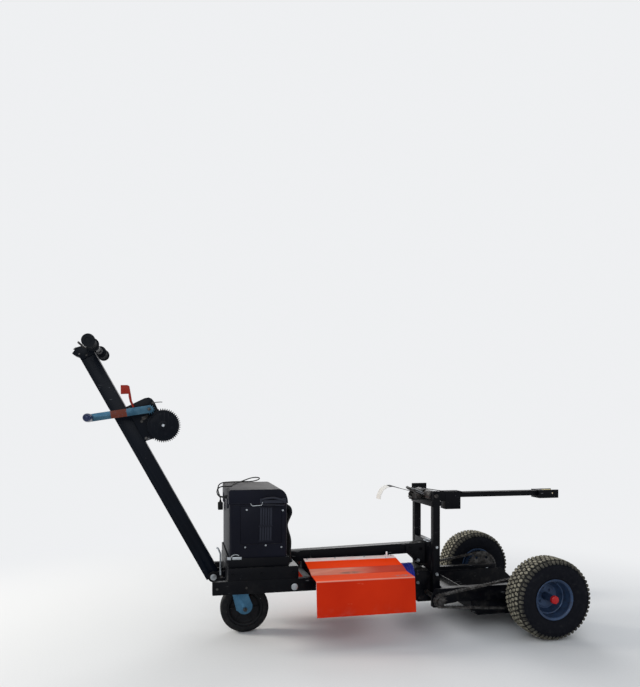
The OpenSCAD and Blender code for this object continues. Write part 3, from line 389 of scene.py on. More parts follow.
def crank_zinc():
    """Zinc-plated bar with one orange band round its middle. Both are coloured dark as painted shade under sky light:
    the zinc a dark blue-grey, the band a dark brownish red.
    """
    f = Finish("crank_zinc_and_orange")
    axis = TONGUE @ CRANK_SHAFT
    along = distance(f.x - axis.x, f.z - axis.z) + f.noise(160) * 0.004
    band_from, band_to = 0.088, 0.149
    band = along.step(band_from, band_from + 0.0025) * (1 - along.step(band_to, band_to + 0.0025))
    band = band * (-1 * f.y).step(0.093, 0.096)
    cloud = f.noise(40, 4)
    worn = f.patches(120, 0.6, 0.7)
    paint = band * (1 - worn * 0.8)
    # Painted shade: the zinc is coloured a dark blue-grey, its shade under sky light
    f.start(cloud.step(0.3, 0.7), rgb(0.026, 0.07, 0.112), rgb(0.052, 0.116, 0.168))
    f.lay(worn * 0.5, rgb(0.2, 0.2, 0.21))
    # Painted shade: the orange band is coloured a dark brownish red
    f.lay(paint, rgb(0.115, 0.024, 0.012))
    f.relief(paint, 0.08)
    f.relief(f.noise(600, 2), 0.03)
    return f.done(0.34 + cloud * 0.16 + worn * 0.2, 0.9, metallic=0.85 - paint * 0.85, specular=0.15)


def webbing():
    """Black polyester webbing with woven ribs across and a stripe near each edge, and a white tail."""
    f = Finish("strap_webbing")
    u, v, _ = f.split(f.out("ShaderNodeUVMap", uv_map="along"))
    weave = ((u * 2200).sin() * 0.5 + 0.5) * 0.6 + ((v * 3600).sin() * 0.5 + 0.5) * 0.4
    soil = f.patches(35, 0.42, 0.8)
    stripe = 1 - abs(abs(v - STRAP_WIDTH / 2) - STRAP_WIDTH / 3).step(0.0008, 0.0014)
    white = f.mix(weave, rgb(0.58, 0.57, 0.55), rgb(0.86, 0.85, 0.82))
    f.start(weave, rgb(0.004, 0.004, 0.006), rgb(0.014, 0.014, 0.017))
    f.lay(stripe * 0.4, rgb(0.07, 0.065, 0.06))
    f.lay(u.step(WHITE_TAIL_FROM - 0.0006, WHITE_TAIL_FROM), white)
    f.lay(soil * 0.12, rgb(0.2, 0.19, 0.17))
    f.relief(weave, 0.35)
    return f.done(0.82 + weave * 0.1, sheen=0.1, specular=0.2)


def motor_enamel():
    """Blue enamel with a little dust on top."""
    f = Finish("motor_blue_enamel")
    tone = f.noise(18, 4)
    film = f.up.step(0.2, 0.95) * f.patches(40, 0.36, 0.7) * 0.12
    f.start(tone.step(0.3, 0.7), rgb(0.0006, 0.007, 0.17), rgb(0.0012, 0.016, 0.3))
    f.lay(film, DUST)
    f.relief(f.noise(300, 2), 0.08)
    return f.done(0.36 + tone * 0.15 + film * 0.4, 0.9, specular=0.25)


def rim_enamel():
    """Silver-grey wheel enamel, coloured a dark navy as painted shade under sky light, and dusty in the well of the
    rim.
    """
    f = Finish("rim_silver_enamel")
    tone = f.noise(30, 4)
    radius = distance(f.x - AXLE.x, f.z - AXLE.z)
    brake_dust = f.patches(70, 0.4, 0.75) * (0.25 + 0.45 * radius.step(0.052, 0.068))
    # Painted shade: the silver-grey enamel is coloured a dark navy, its shade under sky light
    f.start(tone.step(0.3, 0.7), rgb(0.022, 0.043, 0.094), rgb(0.038, 0.072, 0.146))
    f.lay(brake_dust, rgb(0.03, 0.032, 0.038))
    f.relief(f.noise(420, 2), 0.05)
    return f.done(0.3 + tone * 0.15 + brake_dust * 0.4, 0.9, metallic=0.35 - brake_dust * 0.25, coat=0.1,
                  specular=0.25)


finishes = {
    "frame_black": powder_coat("frame_black_coat", rgb(0.0022, 0.0027, 0.0048), 0.36, 0.12, sheen_up=0.25),
    "tongue_black": powder_coat("tongue_black_coat", rgb(0.0014, 0.0036, 0.0085), 0.3, 0.05, chips=0.6),
    "cover_orange": orange_cover(),
    "zinc": zinc_plate(rgb(0.4, 0.43, 0.46)),
    "crank_zinc": crank_zinc(),
    "dark_steel": oiled_steel(rgb(0.022, 0.021, 0.021)),
    "rim_silver": rim_enamel(),
    "cap_red": moulded("cap_red_plastic", rgb(0.34, 0.008, 0.01), 0.3, 0.04, grain=0.02, coat=0.3),
    "tyre_rubber": turf_tyre(),
    "caster_rubber": soft_rubber("caster_rubber", rgb(0.006, 0.0065, 0.008), 0.58, 0.15),
    "caster_core": moulded("caster_nylon", rgb(0.007, 0.0075, 0.009), 0.45, 0.08),
    "motor_blue": motor_enamel(),
    "case_plastic": moulded("case_plastic", rgb(0.0016, 0.0022, 0.0066), 0.42, 0.24),
    "vent_grey": moulded("vent_plastic", rgb(0.017, 0.019, 0.028), 0.5, 0.15),
    "strap_web": webbing(),
    "pad_cream": moulded("pad_urethane", rgb(0.66, 0.56, 0.3), 0.5, 0.2, grain=0.03),
    "lead_black": soft_rubber("lead_jacket", rgb(0.011, 0.012, 0.013), 0.48, 0.05),
    "grip_black": soft_rubber("grip_rubber", rgb(0.0035, 0.005, 0.0075), 0.66, 0.05),
    "lever_red": powder_coat("lever_dip", rgb(0.36, 0.03, 0.018), 0.4, 0.1, chips=0.3),
    "case_stud": moulded("stud_nylon", rgb(0.7, 0.71, 0.72), 0.4, 0.1, grain=0.02),
    "grip_navy": moulded("grip_navy_plastic", rgb(0.008, 0.016, 0.055), 0.3, 0.08, grain=0.02, coat=0.3),
}
slot_of_node = {part["node"]: part["material_slot"] for part in frame["record"]["subparts"]}
body_of_node = {node: body for body, nodes in frame["record"]["behaviour"]["bodies"].items() for node in nodes}

for name, node in frame["nodes"].items():
    node.data.materials.clear()
    node.data.materials.append(finishes[slot_of_node[name]])


# Making and keeping pieces

def piece(name, mesh, slot, body, replaces=(), sharp=32):
    """Puts a mesh, or a list of them as one, in the scene, on its body, with its slot's finish."""
    mesh = joined(*mesh) if isinstance(mesh, list) else mesh
    mesh.name = name
    obj = in_scene(name, mesh)
    mesh.materials.clear()
    mesh.materials.append(finishes[slot])
    mesh.polygons.foreach_set("use_smooth", [True] * len(mesh.polygons))
    mesh.set_sharp_from_angle(angle=radians(sharp))
    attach(obj, body)
    slot in slot_of_node.values()
    if replaces:
        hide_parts(*replaces)
    return obj


def from_bmesh(bm, outward=False):
    if outward:
        bmesh.ops.recalc_face_normals(bm, faces=bm.faces)
    mesh = bpy.data.meshes.new("shape")
    bm.to_mesh(mesh)
    bm.free()
    return mesh


def joined(*meshes):
    bm = bmesh.new()
    for mesh in meshes:
        bm.from_mesh(mesh)
    return from_bmesh(bm)


def baked(obj):
    """The object's evaluated mesh as a plain one; the object itself goes."""
    bpy.context.view_layer.update()
    mesh = bpy.data.meshes.new_from_object(obj.evaluated_get(bpy.context.evaluated_depsgraph_get()))
    dropped(obj)
    return mesh


def with_modifiers(mesh, *steps):
    """Applies modifiers, given as (type, settings), to a mesh."""
    obj = in_scene("work", mesh)
    for kind, settings in steps:
        modifier = obj.modifiers.new(kind, kind)
        for key, value in settings.items():
            setattr(modifier, key, value)
    return baked(obj)


def bevelled(mesh, width, segments=2, angle=32):
    return with_modifiers(mesh, ("BEVEL", {"width": width / 1000, "segments": segments, "limit_method": "ANGLE",
                                           "angle_limit": radians(angle)})) if width else mesh


def softened(node, width, slot):
    """A copy of a solid with its doubles merged, its flat faces joined and its edges broken."""
    bm = bmesh.new()
    bm.from_mesh(frame["nodes"][node].data)
    bmesh.ops.remove_doubles(bm, verts=bm.verts, dist=0.00002)
    bmesh.ops.dissolve_limit(bm, angle_limit=radians(0.5), verts=bm.verts, edges=bm.edges)
    piece(node + "_shaped", bevelled(from_bmesh(bm), width), slot, body_of_node[node], [node])


def skinned(bm, rings, closed=False):
    """Faces between rings of vertices, one ring after the other."""
    for one, two in zip(rings, rings[1:] + rings[:1] if closed else rings[1:]):
        for k in range(len(one)):
            m = (k + 1) % len(one)
            bm.faces.new((one[k], one[m], two[m], two[k]))


def capped(bm, rings):
    bm.faces.new(rings[0][::-1])
    bm.faces.new(rings[-1])


def revolve(profile, centre, segments=96, axis="Y", sign=1):
    """Turns a closed outline of (radius, place along the axis) round an axis through centre."""
    bm = bmesh.new()
    rings = []
    for a in (2 * pi * i / segments for i in range(segments)):
        ring = []
        for r, t in profile:
            across, up, t = r / 1000 * cos(a), r / 1000 * sin(a), t / 1000
            place = {"X": (sign * t, across, up), "Y": (across, sign * t, up), "Z": (across, up, t)}[axis]
            ring.append(bm.verts.new(centre + Vector(place)))
        rings.append(ring)
    skinned(bm, rings, closed=True)
    bmesh.ops.remove_doubles(bm, verts=bm.verts, dist=1e-6)
    return from_bmesh(bm, outward=True)


def flipped(profile):
    return [(r, -t) for r, t in reversed(profile)]


def mirrored(profile):
    """A profile followed by its mirror image across the wheel's middle plane."""
    return profile + flipped(profile)


def rounded(points, radius, steps):
    """A polyline in two measures with its inner corners turned into arcs."""
    out = [points[0]]
    for a, b, c in zip(points, points[1:], points[2:]):
        a, b, c = Vector(a), Vector(b), Vector(c)
        one, two = (a - b).normalized(), (c - b).normalized()
        back = min(radius / tan(one.angle(two) / 2), (a - b).length * 0.45, (c - b).length * 0.45)
        start, end = b + one * back, b + two * back
        for t in (k / steps for k in range(steps + 1)):
            out.append(tuple(start * (1 - t) ** 2 + b * (2 * t * (1 - t)) + end * t ** 2))
    return out + [points[-1]]


def smooth_path(points, steps=3, y=None, place=mm):
    """A smooth line through all the given points, which are in X and Z alone where y is given."""
    p = [place(*q) if y is None else place(q[0], y, q[1]) for q in points]
    out = []
    for i in range(len(p) - 1):
        a, b = p[max(i - 1, 0)], p[min(i + 2, len(p) - 1)]
        for t in (k / steps for k in range(steps)):
            out.append(0.5 * (2 * p[i] + (p[i + 1] - a) * t + (2 * a - 5 * p[i] + 4 * p[i + 1] - b) * t ** 2
                              + (3 * p[i] - a - 3 * p[i + 1] + b) * t ** 3))
    return out + [p[-1]]


def heading(line, i):
    """The direction of a line of points at one of them."""
    return (line[min(i + 1, len(line) - 1)] - line[max(i - 1, 0)]).normalized()


def cord_curve(name, points, diameter, node, resolution):
    """A round cord along points, as a curve of one open spline, in place of a node."""
    data = bpy.data.curves.new(name, "CURVE")
    data.dimensions = "3D"
    data.bevel_depth = diameter / 2
    data.bevel_resolution = resolution
    data.use_fill_caps = True
    spline = data.splines.new("POLY")
    spline.points.add(len(points) - 1)
    for place, q in zip(spline.points, points):
        place.co = (*q, 1.0)
    spline.use_smooth = True
    data.materials.append(finishes["lead_black"])
    obj = in_scene(name, data)
    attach(obj, "root")
    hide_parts(node)
    return obj


def tube(points, radius, sides):
    """A round bar swept along points, with one radius or one for each point."""
    bm = bmesh.new()
    rings = []
    side = heading(points, 0).orthogonal().normalized()
    for i, q in enumerate(points):
        ahead = heading(points, i)
        side = (side - ahead * side.dot(ahead)).normalized()
        other = ahead.cross(side)
        r = (radius[i] if isinstance(radius, list) else radius) / 1000
        rings.append([bm.verts.new(q + r * (cos(a) * side + sin(a) * other))
                      for a in (2 * pi * k / sides for k in range(sides))])
    skinned(bm, rings)
    capped(bm, rings)
    return from_bmesh(bm, outward=True)


def block(low, high, bevel, segments=2, place=mm):
    """A box between two corners with its edges broken."""
    low, high = place(*low), place(*high)
    bm = bmesh.new()
    bmesh.ops.create_cube(bm, size=1)
    for v in bm.verts:
        v.co = Vector([(low[i] + high[i]) / 2 + v.co[i] * (high[i] - low[i]) for i in range(3)])
    return bevelled(from_bmesh(bm), bevel, segments)


def extruded(outline, low, high, bevel=0, axis="Y", place=mm):
    """A flat outline given thickness along Y (outline in X and Z) or X (outline in Y and Z)."""
    bm = bmesh.new()
    layers = [[bm.verts.new(place(a, t, b) if axis == "Y" else place(t, a, b)) for a, b in outline]
              for t in (low, high)]
    skinned(bm, layers)
    capped(bm, layers)
    return bevelled(from_bmesh(bm, outward=True), bevel)


# Geometry node trees for what repeats

class Maker(Graph):
    """A geometry node tree with named inputs, which ends in real faces with one material."""

    KINDS = {int: "NodeSocketInt", float: "NodeSocketFloat", bpy.types.Object: "NodeSocketObject",
             bpy.types.Material: "NodeSocketMaterial"}

    def __init__(self, name, inputs):
        tree = bpy.data.node_groups.new(name, "GeometryNodeTree")
        super().__init__(tree)
        face = tree.interface
        face.new_socket("Geometry", in_out="INPUT", socket_type="NodeSocketGeometry")
        self.ids = {}
        for key, value in inputs.items():
            named = isinstance(value, type)
            item = face.new_socket(key, in_out="INPUT", socket_type=self.KINDS[value if named else type(value)])
            if not named:
                item.default_value = value
            self.ids[key] = item.identifier
        face.new_socket("Geometry", in_out="OUTPUT", socket_type="NodeSocketGeometry")
        self.given = self.add("NodeGroupInput").outputs

    def size(self, *keys):
        """The named inputs, as numbers."""
        return [Num(self, self.given[key]) for key in keys]

    def vector(self, x, y, z):
        return self.out("ShaderNodeCombineXYZ", {0: x, 1: y, 2: z})

    def facing(self, key, **settings):
        """Turns an axis to the direction stored with each point."""
        stored = self.out("GeometryNodeInputNamedAttribute", {"Name": key}, "Attribute", data_type="FLOAT_VECTOR")
        return self.add("FunctionNodeAlignRotationToVector", {"Vector": stored}, **settings)

    def shape(self, obj):
        return self.out("GeometryNodeObjectInfo", {"Object": obj}, "Geometry")

    def copies(self, points, shape, rotation, **more):
        return self.out("GeometryNodeInstanceOnPoints",
                        {"Points": points, "Instance": shape, "Rotation": rotation, **more})

    def join(self, *parts):
        node = self.add("GeometryNodeJoinGeometry")
        for part in parts:
            self.tree.links.new(part, node.inputs[0])
        return node.outputs[0]

    def finish(self, geometry, material):
        real = self.out("GeometryNodeRealizeInstances", {0: geometry})
        painted = self.out("GeometryNodeSetMaterial", {"Geometry": real, "Material": material})
        self.add("NodeGroupOutput", {0: painted})
        return self

    def run(self, points, **values):
        """The tree's result on a mesh of points, as a plain mesh."""
        obj = in_scene("work", points)
        modifier = obj.modifiers.new("make", "NODES")
        modifier.node_group = self.tree
        for key, value in values.items():
            modifier[self.ids[key]] = value
        return baked(obj)


def point_mesh(places=((0, 0, 0),), **vectors):
    """Loose points with a stored vector each, for a tree to work on."""
    mesh = bpy.data.meshes.new("points")
    mesh.from_pydata([tuple(p) for p in places], [], [])
    for key, values in vectors.items():
        data = mesh.attributes.new(key, "FLOAT_VECTOR", "POINT")
        data.data.foreach_set("vector", [c for v in values for c in v])
    return mesh


def bolt_maker():
    """Hexagon head on a round washer, at each point, standing along its stored direction."""
    m = Maker("hex_bolts", {"Across flats": 0.01, "Head height": 0.005, "Washer": 0.0105, "Washer height": 0.0015,
                            "Finish": bpy.types.Material})
    flats, height, washer_r, washer_h = m.size("Across flats", "Head height", "Washer", "Washer height")

    def cone(vertices, top, bottom, depth):
        return m.out("GeometryNodeMeshCone", {"Vertices": vertices, "Radius Top": top, "Radius Bottom": bottom,
                                              "Depth": depth}, "Mesh")

    head = m.out("GeometryNodeTransform", {"Geometry": cone(6, flats * 0.53, flats * 0.577, height),
                                           "Translation": m.vector(0.0, 0.0, washer_h)})
    disc = cone(20, washer_r * 0.94, washer_r, washer_h)
    turned = m.facing("facing", axis="Z").outputs[0]
    return m.finish(m.copies(m.given["Geometry"], m.join(head, disc), turned), m.given["Finish"])


# Shares of the width across a bolt head's flats
HEAD_HEIGHT, WASHER_R, WASHER_HEIGHT = 0.55, 0.66, 0.12


def bolts(name, body, slot, size, places):
    """Bolt heads for one body: each place is a point and the direction that it faces."""
    points = point_mesh([p for p, _ in places], facing=[Vector(d).normalized() for _, d in places])
    size /= 1000
    mesh = BOLTS.run(points, **{"Across flats": size, "Head height": size * HEAD_HEIGHT, "Washer": size * WASHER_R,
                                "Washer height": max(0.001, size * WASHER_HEIGHT), "Finish": finishes[slot]})
    piece(name, mesh, slot, body)


def row_maker():
    """A shape repeated in a straight row from where it stands."""
    m = Maker("row_of_copies", {"Shape": bpy.types.Object, "Count": 5, "Step X": 0.01, "Step Y": 0.0, "Step Z": 0.0,
                                "Finish": bpy.types.Material})
    step = m.vector(*m.size("Step X", "Step Y", "Step Z"))
    line = m.out("GeometryNodeMeshLine", {"Count": m.given["Count"], "Offset": step})
    return m.finish(m.copies(line, m.shape(m.given["Shape"]), (0.0, 0.0, 0.0)), m.given["Finish"])


def row(shape, slot, count, step):
    """That many copies of a mesh, a step apart, as one mesh."""
    source = in_scene("shape", shape)
    mesh = ROWS.run(point_mesh(), Shape=source, Count=count, Finish=finishes[slot],
                    **{"Step " + axis: value / 1000 for axis, value in zip("XYZ", step)})
    dropped(source)
    return mesh


BOLTS = bolt_maker()
ROWS = row_maker()


# Turf tyres, rims and caps

TYRE_PROFILE = [
    (76.6, 40), (77, 47.5), (79, 49.8), (84.2, 50.2), (88, 52), (90.5, 54.3), (92.2, 54.3), (94, 55.5), (106, 59.2),
    (119, 61.7), (129, 62.2), (138.5, 61.2), (145, 58.8), (146.5, 59.2), (149, 57.8), (153, 52.5), (156, 45.5),
    (158, 36), (159.2, 24), (159.8, 10)]
TREAD_BLOCK = [(-5.8, -5), (-3.6, -8.4), (3.4, -8.6), (6, -4), (5.7, 5.2), (3, 8.5), (-3.2, 8.3), (-6, 3.4)]
TREAD_ROWS, TREAD_COLUMNS = 6, 54
SHOULDER_LEAN = 1.02


def tread_block():
    """One tread block, a chunky lozenge with a slightly smaller top."""
    bm = bmesh.new()
    layers = [[bm.verts.new(local(x * share, y * share, z)) for x, y in TREAD_BLOCK]
              for z, share in ((-3, 1.1), (3.6, 1.0), (4.6, 0.9))]
    skinned(bm, layers)
    bm.faces.new(layers[-1])
    return from_bmesh(bm, outward=True)


def tread_maker(block_object):
    """Rows of blocks round a wheel, staggered from row to row and turned down over the shoulders."""
    m = Maker("turf_tread", {"Rows": TREAD_ROWS, "Columns": TREAD_COLUMNS, "Radius": 0.1603, "Half width": TREAD_HALF,
                             "Shoulder drop": SHOULDER_DROP, "Yaw": 0.3})
    rows, columns, top, half_width, drop, yaw = m.size("Rows", "Columns", "Radius", "Half width", "Shoulder drop",
                                                       "Yaw")
    line = m.out("GeometryNodeMeshLine", {"Count": rows * columns, "Offset": (0.0, 0.0, 0.0)})
    index = m.num("GeometryNodeInputIndex")
    row, column = index % rows, (index / rows).floor()
    share = (row * 2 - rows + 1) / (rows - 1)
    reach = abs(share) ** 5
    angle = (column + (row % 2) * 0.5) * (2 * pi) / columns
    sign = share / abs(share).most(0.001)
    radius = top - reach * drop
    place = m.vector(radius * (angle + pi / 2).sin(), share * half_width, radius * angle.sin())
    placed = m.out("GeometryNodeSetPosition", {"Geometry": line, "Position": place})
    yaw = (((row + column) % 2) * 2 - 1) * yaw * (1 - reach * 0.8)

    def turn(axis, amount):
        return m.out("FunctionNodeAxisAngleToRotation", {"Axis": axis, "Angle": amount})

    def then(first, second):
        return m.out("FunctionNodeRotateRotation", {"Rotation": first, "Rotate By": second}, rotation_space="GLOBAL")

    turned = then(then(turn((0, 0, 1), yaw), turn((-1, 0, 0), sign * reach * SHOULDER_LEAN)),
                  turn((0, 1, 0), pi / 2 - angle))
    return m.finish(m.copies(placed, m.shape(block_object), turned), finishes["tyre_rubber"])


def wheels():
    """Turf tyres with their tread, each with its rim."""
    block_object = in_scene("tread_block", tread_block())
    tread = tread_maker(block_object).run(point_mesh())
    dropped(block_object)
    outline = mirrored(TYRE_PROFILE) + [(76.6, -30), (76.6, 30)]
    for side, sign in SIDES.items():
        centre = Vector((AXLE.x, sign * WHEEL_Y, AXLE.z))
        moved = tread.copy()
        moved.transform(Matrix.Translation(centre))
        piece("turf_tyre_" + side, [revolve(outline, centre, 128, sign=sign), moved], "tyre_rubber", "wheel_" + side,
              ["tyre_" + side], sharp=40)
        rim(side, sign, centre, "wheel_" + side)


RIM_LIP = [(81.5, 54), (82.6, 53.3), (83.1, 52), (82.6, 50.7), (80.6, 50.3), (77.5, 49), (76.1, 47), (75.8, 33)]
RIM_INSIDE = [(80, -53.5), (78.8, -52), (74.5, -49.8), (72.8, -47)]
RIM_DISC = [
    (72.5, -34), (68, -25.5), (67.6, -10), (66.6, -2), (63, 0), (57.5, -11), (49, -24), (16, -25.5), (15, -27),
    (15, -112.5), (10.1, -112.5), (10.1, 51), (15, 51), (15, -19.5), (17, -18), (39, -18.2), (43, -17.2),
    (46, -18.2), (50, -17.5), (59, -5), (63.2, 6.5), (66.8, 8.5), (68.2, 24), (72.5, 32.5)]
CAP_PROFILE = [(0, 60), (6, 59.9), (11, 59.2), (14.5, 57.8), (16, 56), (16.7, 53), (16.9, 48), (17, 46.2),
               (15.3, 46), (15.3, 51.2), (0, 51.2)]
# Valve and stud: places along each one with the radius there
VALVE = [(0, 6.2), (10, 5), (10.5, 3.6), (27, 3.6), (27.5, 4.6), (36, 4.4)]
VALVE_TURN = 2.2


def rim(side, sign, centre, body):
    """Pressed rim with its flange, hub cap, valve and bolts."""
    well = [(71, 24), (70.5, -24)]
    shell = revolve(RIM_LIP + well + flipped(RIM_LIP) + RIM_INSIDE + RIM_DISC + flipped(RIM_INSIDE), centre, sign=sign)
    flange = revolve([(10.1, -91.5), (40, -91.5), (40, -86.5), (10.1, -86.5)], centre, 48, sign=sign)
    piece("rim_" + side + "_pressed", [shell, flange], "rim_silver", body, ["rim_" + side], sharp=28)
    cap = revolve(CAP_PROFILE, centre, 48, sign=sign)
    piece("cap_" + side, cap, "cap_red", body, ["hub_cap_" + side], sharp=45)
    stem = centre + local(46 * cos(VALVE_TURN), sign * -18, 46 * sin(VALVE_TURN))
    out = Vector((0.25 * cos(VALVE_TURN), sign * 0.9, 0.25 * sin(VALVE_TURN))).normalized()
    valve = tube([stem + out * (at / 1000) for at, _ in VALVE], [r for _, r in VALVE], 14)
    piece("valve_" + side, valve, "grip_black", body)
    bolts("rim_bolts_" + side, body, "rim_silver", 10,
          [(centre + local(29 * cos(a), sign * -18.5, 29 * sin(a)), (0, sign, 0)) for a in four_corners()])


def four_corners():
    return [pi / 4 + pi / 2 * k for k in range(4)]


# Roller chains

CHAIN_PITCH, CHAIN_LINKS, SMALL_TEETH, BIG_TEETH = 0.0127, 92, 12, 36
CHAIN_Y, SMALL_SPROCKET_Z = 0.25, 0.147
LINK_PLATE, LINK_END, LINK_WAIST, PIN_PAST = 1.4, 5.6, 4, 0.8
ROLLER_R, PIN_R = 3.9, 1.8


def chain_stations():
    """Places and directions of the pins round the two sprockets, in X and Z."""
    small_r, big_r = (CHAIN_PITCH / 2 / sin(pi / teeth) for teeth in (SMALL_TEETH, BIG_TEETH))
    shaft = middle("drive_sprocket_near")
    shaft.z = SMALL_SPROCKET_Z
    ahead = Vector((AXLE.x - shaft.x, 0, AXLE.z - shaft.z))
    centres = ahead.length
    ahead.normalize()
    up = Vector((-ahead.z, 0, ahead.x))
    lean = asin((big_r - small_r) / centres)
    run = sqrt(centres ** 2 - (big_r - small_r) ** 2)
    small_wrap, big_wrap = (pi - 2 * lean) * small_r, (pi + 2 * lean) * big_r
    total = 2 * run + small_wrap + big_wrap
    pitch = total / CHAIN_LINKS

    def straight(s, side):
        """A place s along the upper run (side 1) or the lower one (side -1)."""
        return -sin(lean) * small_r + cos(lean) * s, side * (cos(lean) * small_r + sin(lean) * s)

    def at(pitches):
        s = pitches * pitch % total
        if s < run:
            x, y = straight(s, 1)
        elif s < run + big_wrap:
            a = pi / 2 + lean - (s - run) / big_r
            x, y = centres + big_r * cos(a), big_r * sin(a)
        elif s < 2 * run + big_wrap:
            x, y = straight(2 * run + big_wrap - s, -1)
        else:
            a = 3 * pi / 2 - lean - (s - 2 * run - big_wrap) / small_r
            x, y = small_r * cos(a), small_r * sin(a)
        return shaft + ahead * x + up * y

    return ([at(i + 0.5) for i in range(CHAIN_LINKS)],
            [(at(i + 1) - at(i)).normalized() for i in range(CHAIN_LINKS)])


def chain_link(gap):
    """Two side plates with waists and the two rollers or pins between them, along local X."""
    half = CHAIN_PITCH / 2 * 1000
    end = [(half + LINK_END * cos(a), LINK_END * sin(a)) for a in (radians(-75 + 25 * k) for k in range(7))]
    outline = end + [(0, LINK_WAIST)] + [(-x, -y) for x, y in end] + [(0, -LINK_WAIST)]
    plates = [extruded(outline, s * gap, s * (gap + LINK_PLATE), place=local) for s in BOTH]
    pins = [revolve([(0, -reach), (r, -reach), (r, reach), (0, reach)], local(x, 0, 0), 10) for x in (-half, half)
            for reach, r in ((gap, ROLLER_R), (gap + LINK_PLATE + PIN_PAST, PIN_R))]
    return joined(*plates, *pins)


def chain_maker(first, second):
    """Two kinds of link in turn at the stations of a chain."""
    m = Maker("roller_chain", {"Size": 1.0})
    odd = m.num("GeometryNodeInputIndex") % 2
    turned = m.facing("ahead", axis="X", pivot_axis="Y")
    upright = m.out("FunctionNodeAlignRotationToVector", {"Vector": (0.0, 1.0, 0.0)}, axis="Y")
    m.tree.links.new(upright, turned.inputs["Rotation"])
    size = m.vector(*m.size("Size", "Size", "Size"))
    kinds = [m.copies(m.given["Geometry"], m.shape(shape), turned.outputs[0], Scale=size, Selection=mask)
             for shape, mask in ((first, odd), (second, 1 - odd))]
    return m.finish(m.join(*kinds), finishes["dark_steel"])


def chains():
    """Both drive chains, as outer and inner links in turn."""
    links = [in_scene(name, chain_link(gap)) for name, gap in (("outer_link", 5.6), ("inner_link", 4.1))]
    maker = chain_maker(*links)
    places, ahead = chain_stations()
    loops = [maker.run(point_mesh([(p.x, sign * CHAIN_Y, p.z) for p in places], ahead=ahead)) for sign in BOTH]
    dropped(*links)
    piece("roller_chains", loops, "dark_steel", "root", ["drive_chains"], sharp=40)


# Sheet-metal covers

COVER_FOLDS = [(-330, 132), (-315, 268), (-225, 270), (-170, 285), (-50, 305)]
COVER_T, COVER_FOLD_R = 3, 7


def covers():
    """Folded sheet covers, one the mirror image of the other."""
    line = [Vector(p) for p in rounded(COVER_FOLDS, COVER_FOLD_R, 5)]
    ahead = [heading(line, i) for i in range(len(line))]
    under = [p + Vector((a.y, -a.x)) * COVER_T for p, a in zip(line, ahead)]
    low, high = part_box("cover_near")
    for side, sign in SIDES.items():
        outline = [(-sign * y, z) for y, z in line + under[::-1]]
        sheet = extruded(outline, low.x * 1000, high.x * 1000, axis="X", place=local)
        piece("cover_sheet_" + side, bevelled(sheet, 0.6, angle=50), "cover_orange", "root", ["cover_" + side],
              sharp=24)


# Cords: the charging lead and two power cables, along the same points as the solids

LEAD_LINE = [
    (-12, -60, -40), (-17, -60, -40), (-28, -60, -37), (-36, -60, -29), (-39, -60, -18), (-36, -60, -7),
    (-28, -60, 0), (-17, -60, 3), (-5, -59, 3), (6, -54, 3), (15, -46, 3), (21, -35, 3), (24, -22, 3),
    (26, -8, 3), (28, 6, 3), (30, 20, 3), (33, 34, 3), (37, 48, 3), (43, 61, 3), (51, 73, 4), (61, 84, 6),
    (72, 93, 9), (85, 101, 13), (98, 107, 17), (111, 112, 21), (125, 116, 24), (139, 120, 25), (151, 127, 24),
    (159, 137, 21), (161, 149, 16), (156, 160, 11), (146, 168, 7), (133, 172, 4), (119, 173, 3), (105, 173, 3),
    (91, 173, 3), (77, 173, 3), (63, 172, 3), (49, 170, 3), (35, 166, 3), (22, 160, 3), (10, 153, 3),
    (-2, 147, 2), (-13, 143, -2), (-21, 140, -10), (-24, 138, -21), (-23, 137, -33), (-20, 137, -44),
    (-16, 137, -55), (-13, 137, -66), (-13, 137, -72)]
CABLE_LINE = [(-3, 226), (5, 226), (14, 223), (21, 214), (23, 199), (19, 184), (12, 169), (7, 153), (8, 136),
              (13, 119), (18, 102), (21, 84), (21, 66), (20, 48), (20, 31), (20, 15), (20, 0.3)]
CABLE_ROWS = {"near": -110, "middle": -60}
CABLE_FOOT = [(6.2, 0), (12, 0), (11.6, 3), (9.5, 5), (8.2, 11), (6.6, 13), (6.2, 12)]
BOOT_RADII = [10.5, 10.5, 10, 9.4, 9.2, 9, 8.8, 8.6, 8.4, 8.2, 8, 7.8, 7.6, 7.2, 6.7]
BOOT_POINTS = 12
CASE_X, CASE_TOP, CASE_REAR, DECK_TOP = -1289, 615, -1054, 309


def charge_plug(x, y, z):
    """A two-pole plug hanging on its lead, with a ribbed shell and a tapered sleeve round the lead."""
    shell = block((x - 10.8, y - 12.8, z - 44), (x + 10.8, y + 12.8, z - 10.5), 3.2, 3)
    poles = [block((x - 8.5, y + at - 4.5, z - 44), (x + 8.5, y + at + 4.5, z - 42.5), 0.4) for at in (-6.2, 6.2)]
    ribs = row(block((x - 11, y - 9, z - 32), (x + 11, y + 9, z - 30.6), 0.5), "lead_black", 5, (0, 0, 3.4))
    sleeve = tube([mm(x, y, z + t) for t in (-11, -8, -6, -5.5, -3, -2.5, 0)], [5.6, 5.4, 5, 4.3, 4.1, 3.6, 3.4], 20)
    return piece("charge_plug_shell", [shell, ribs, sleeve, *poles], "lead_black", "root", ["charge_plug"], sharp=38)


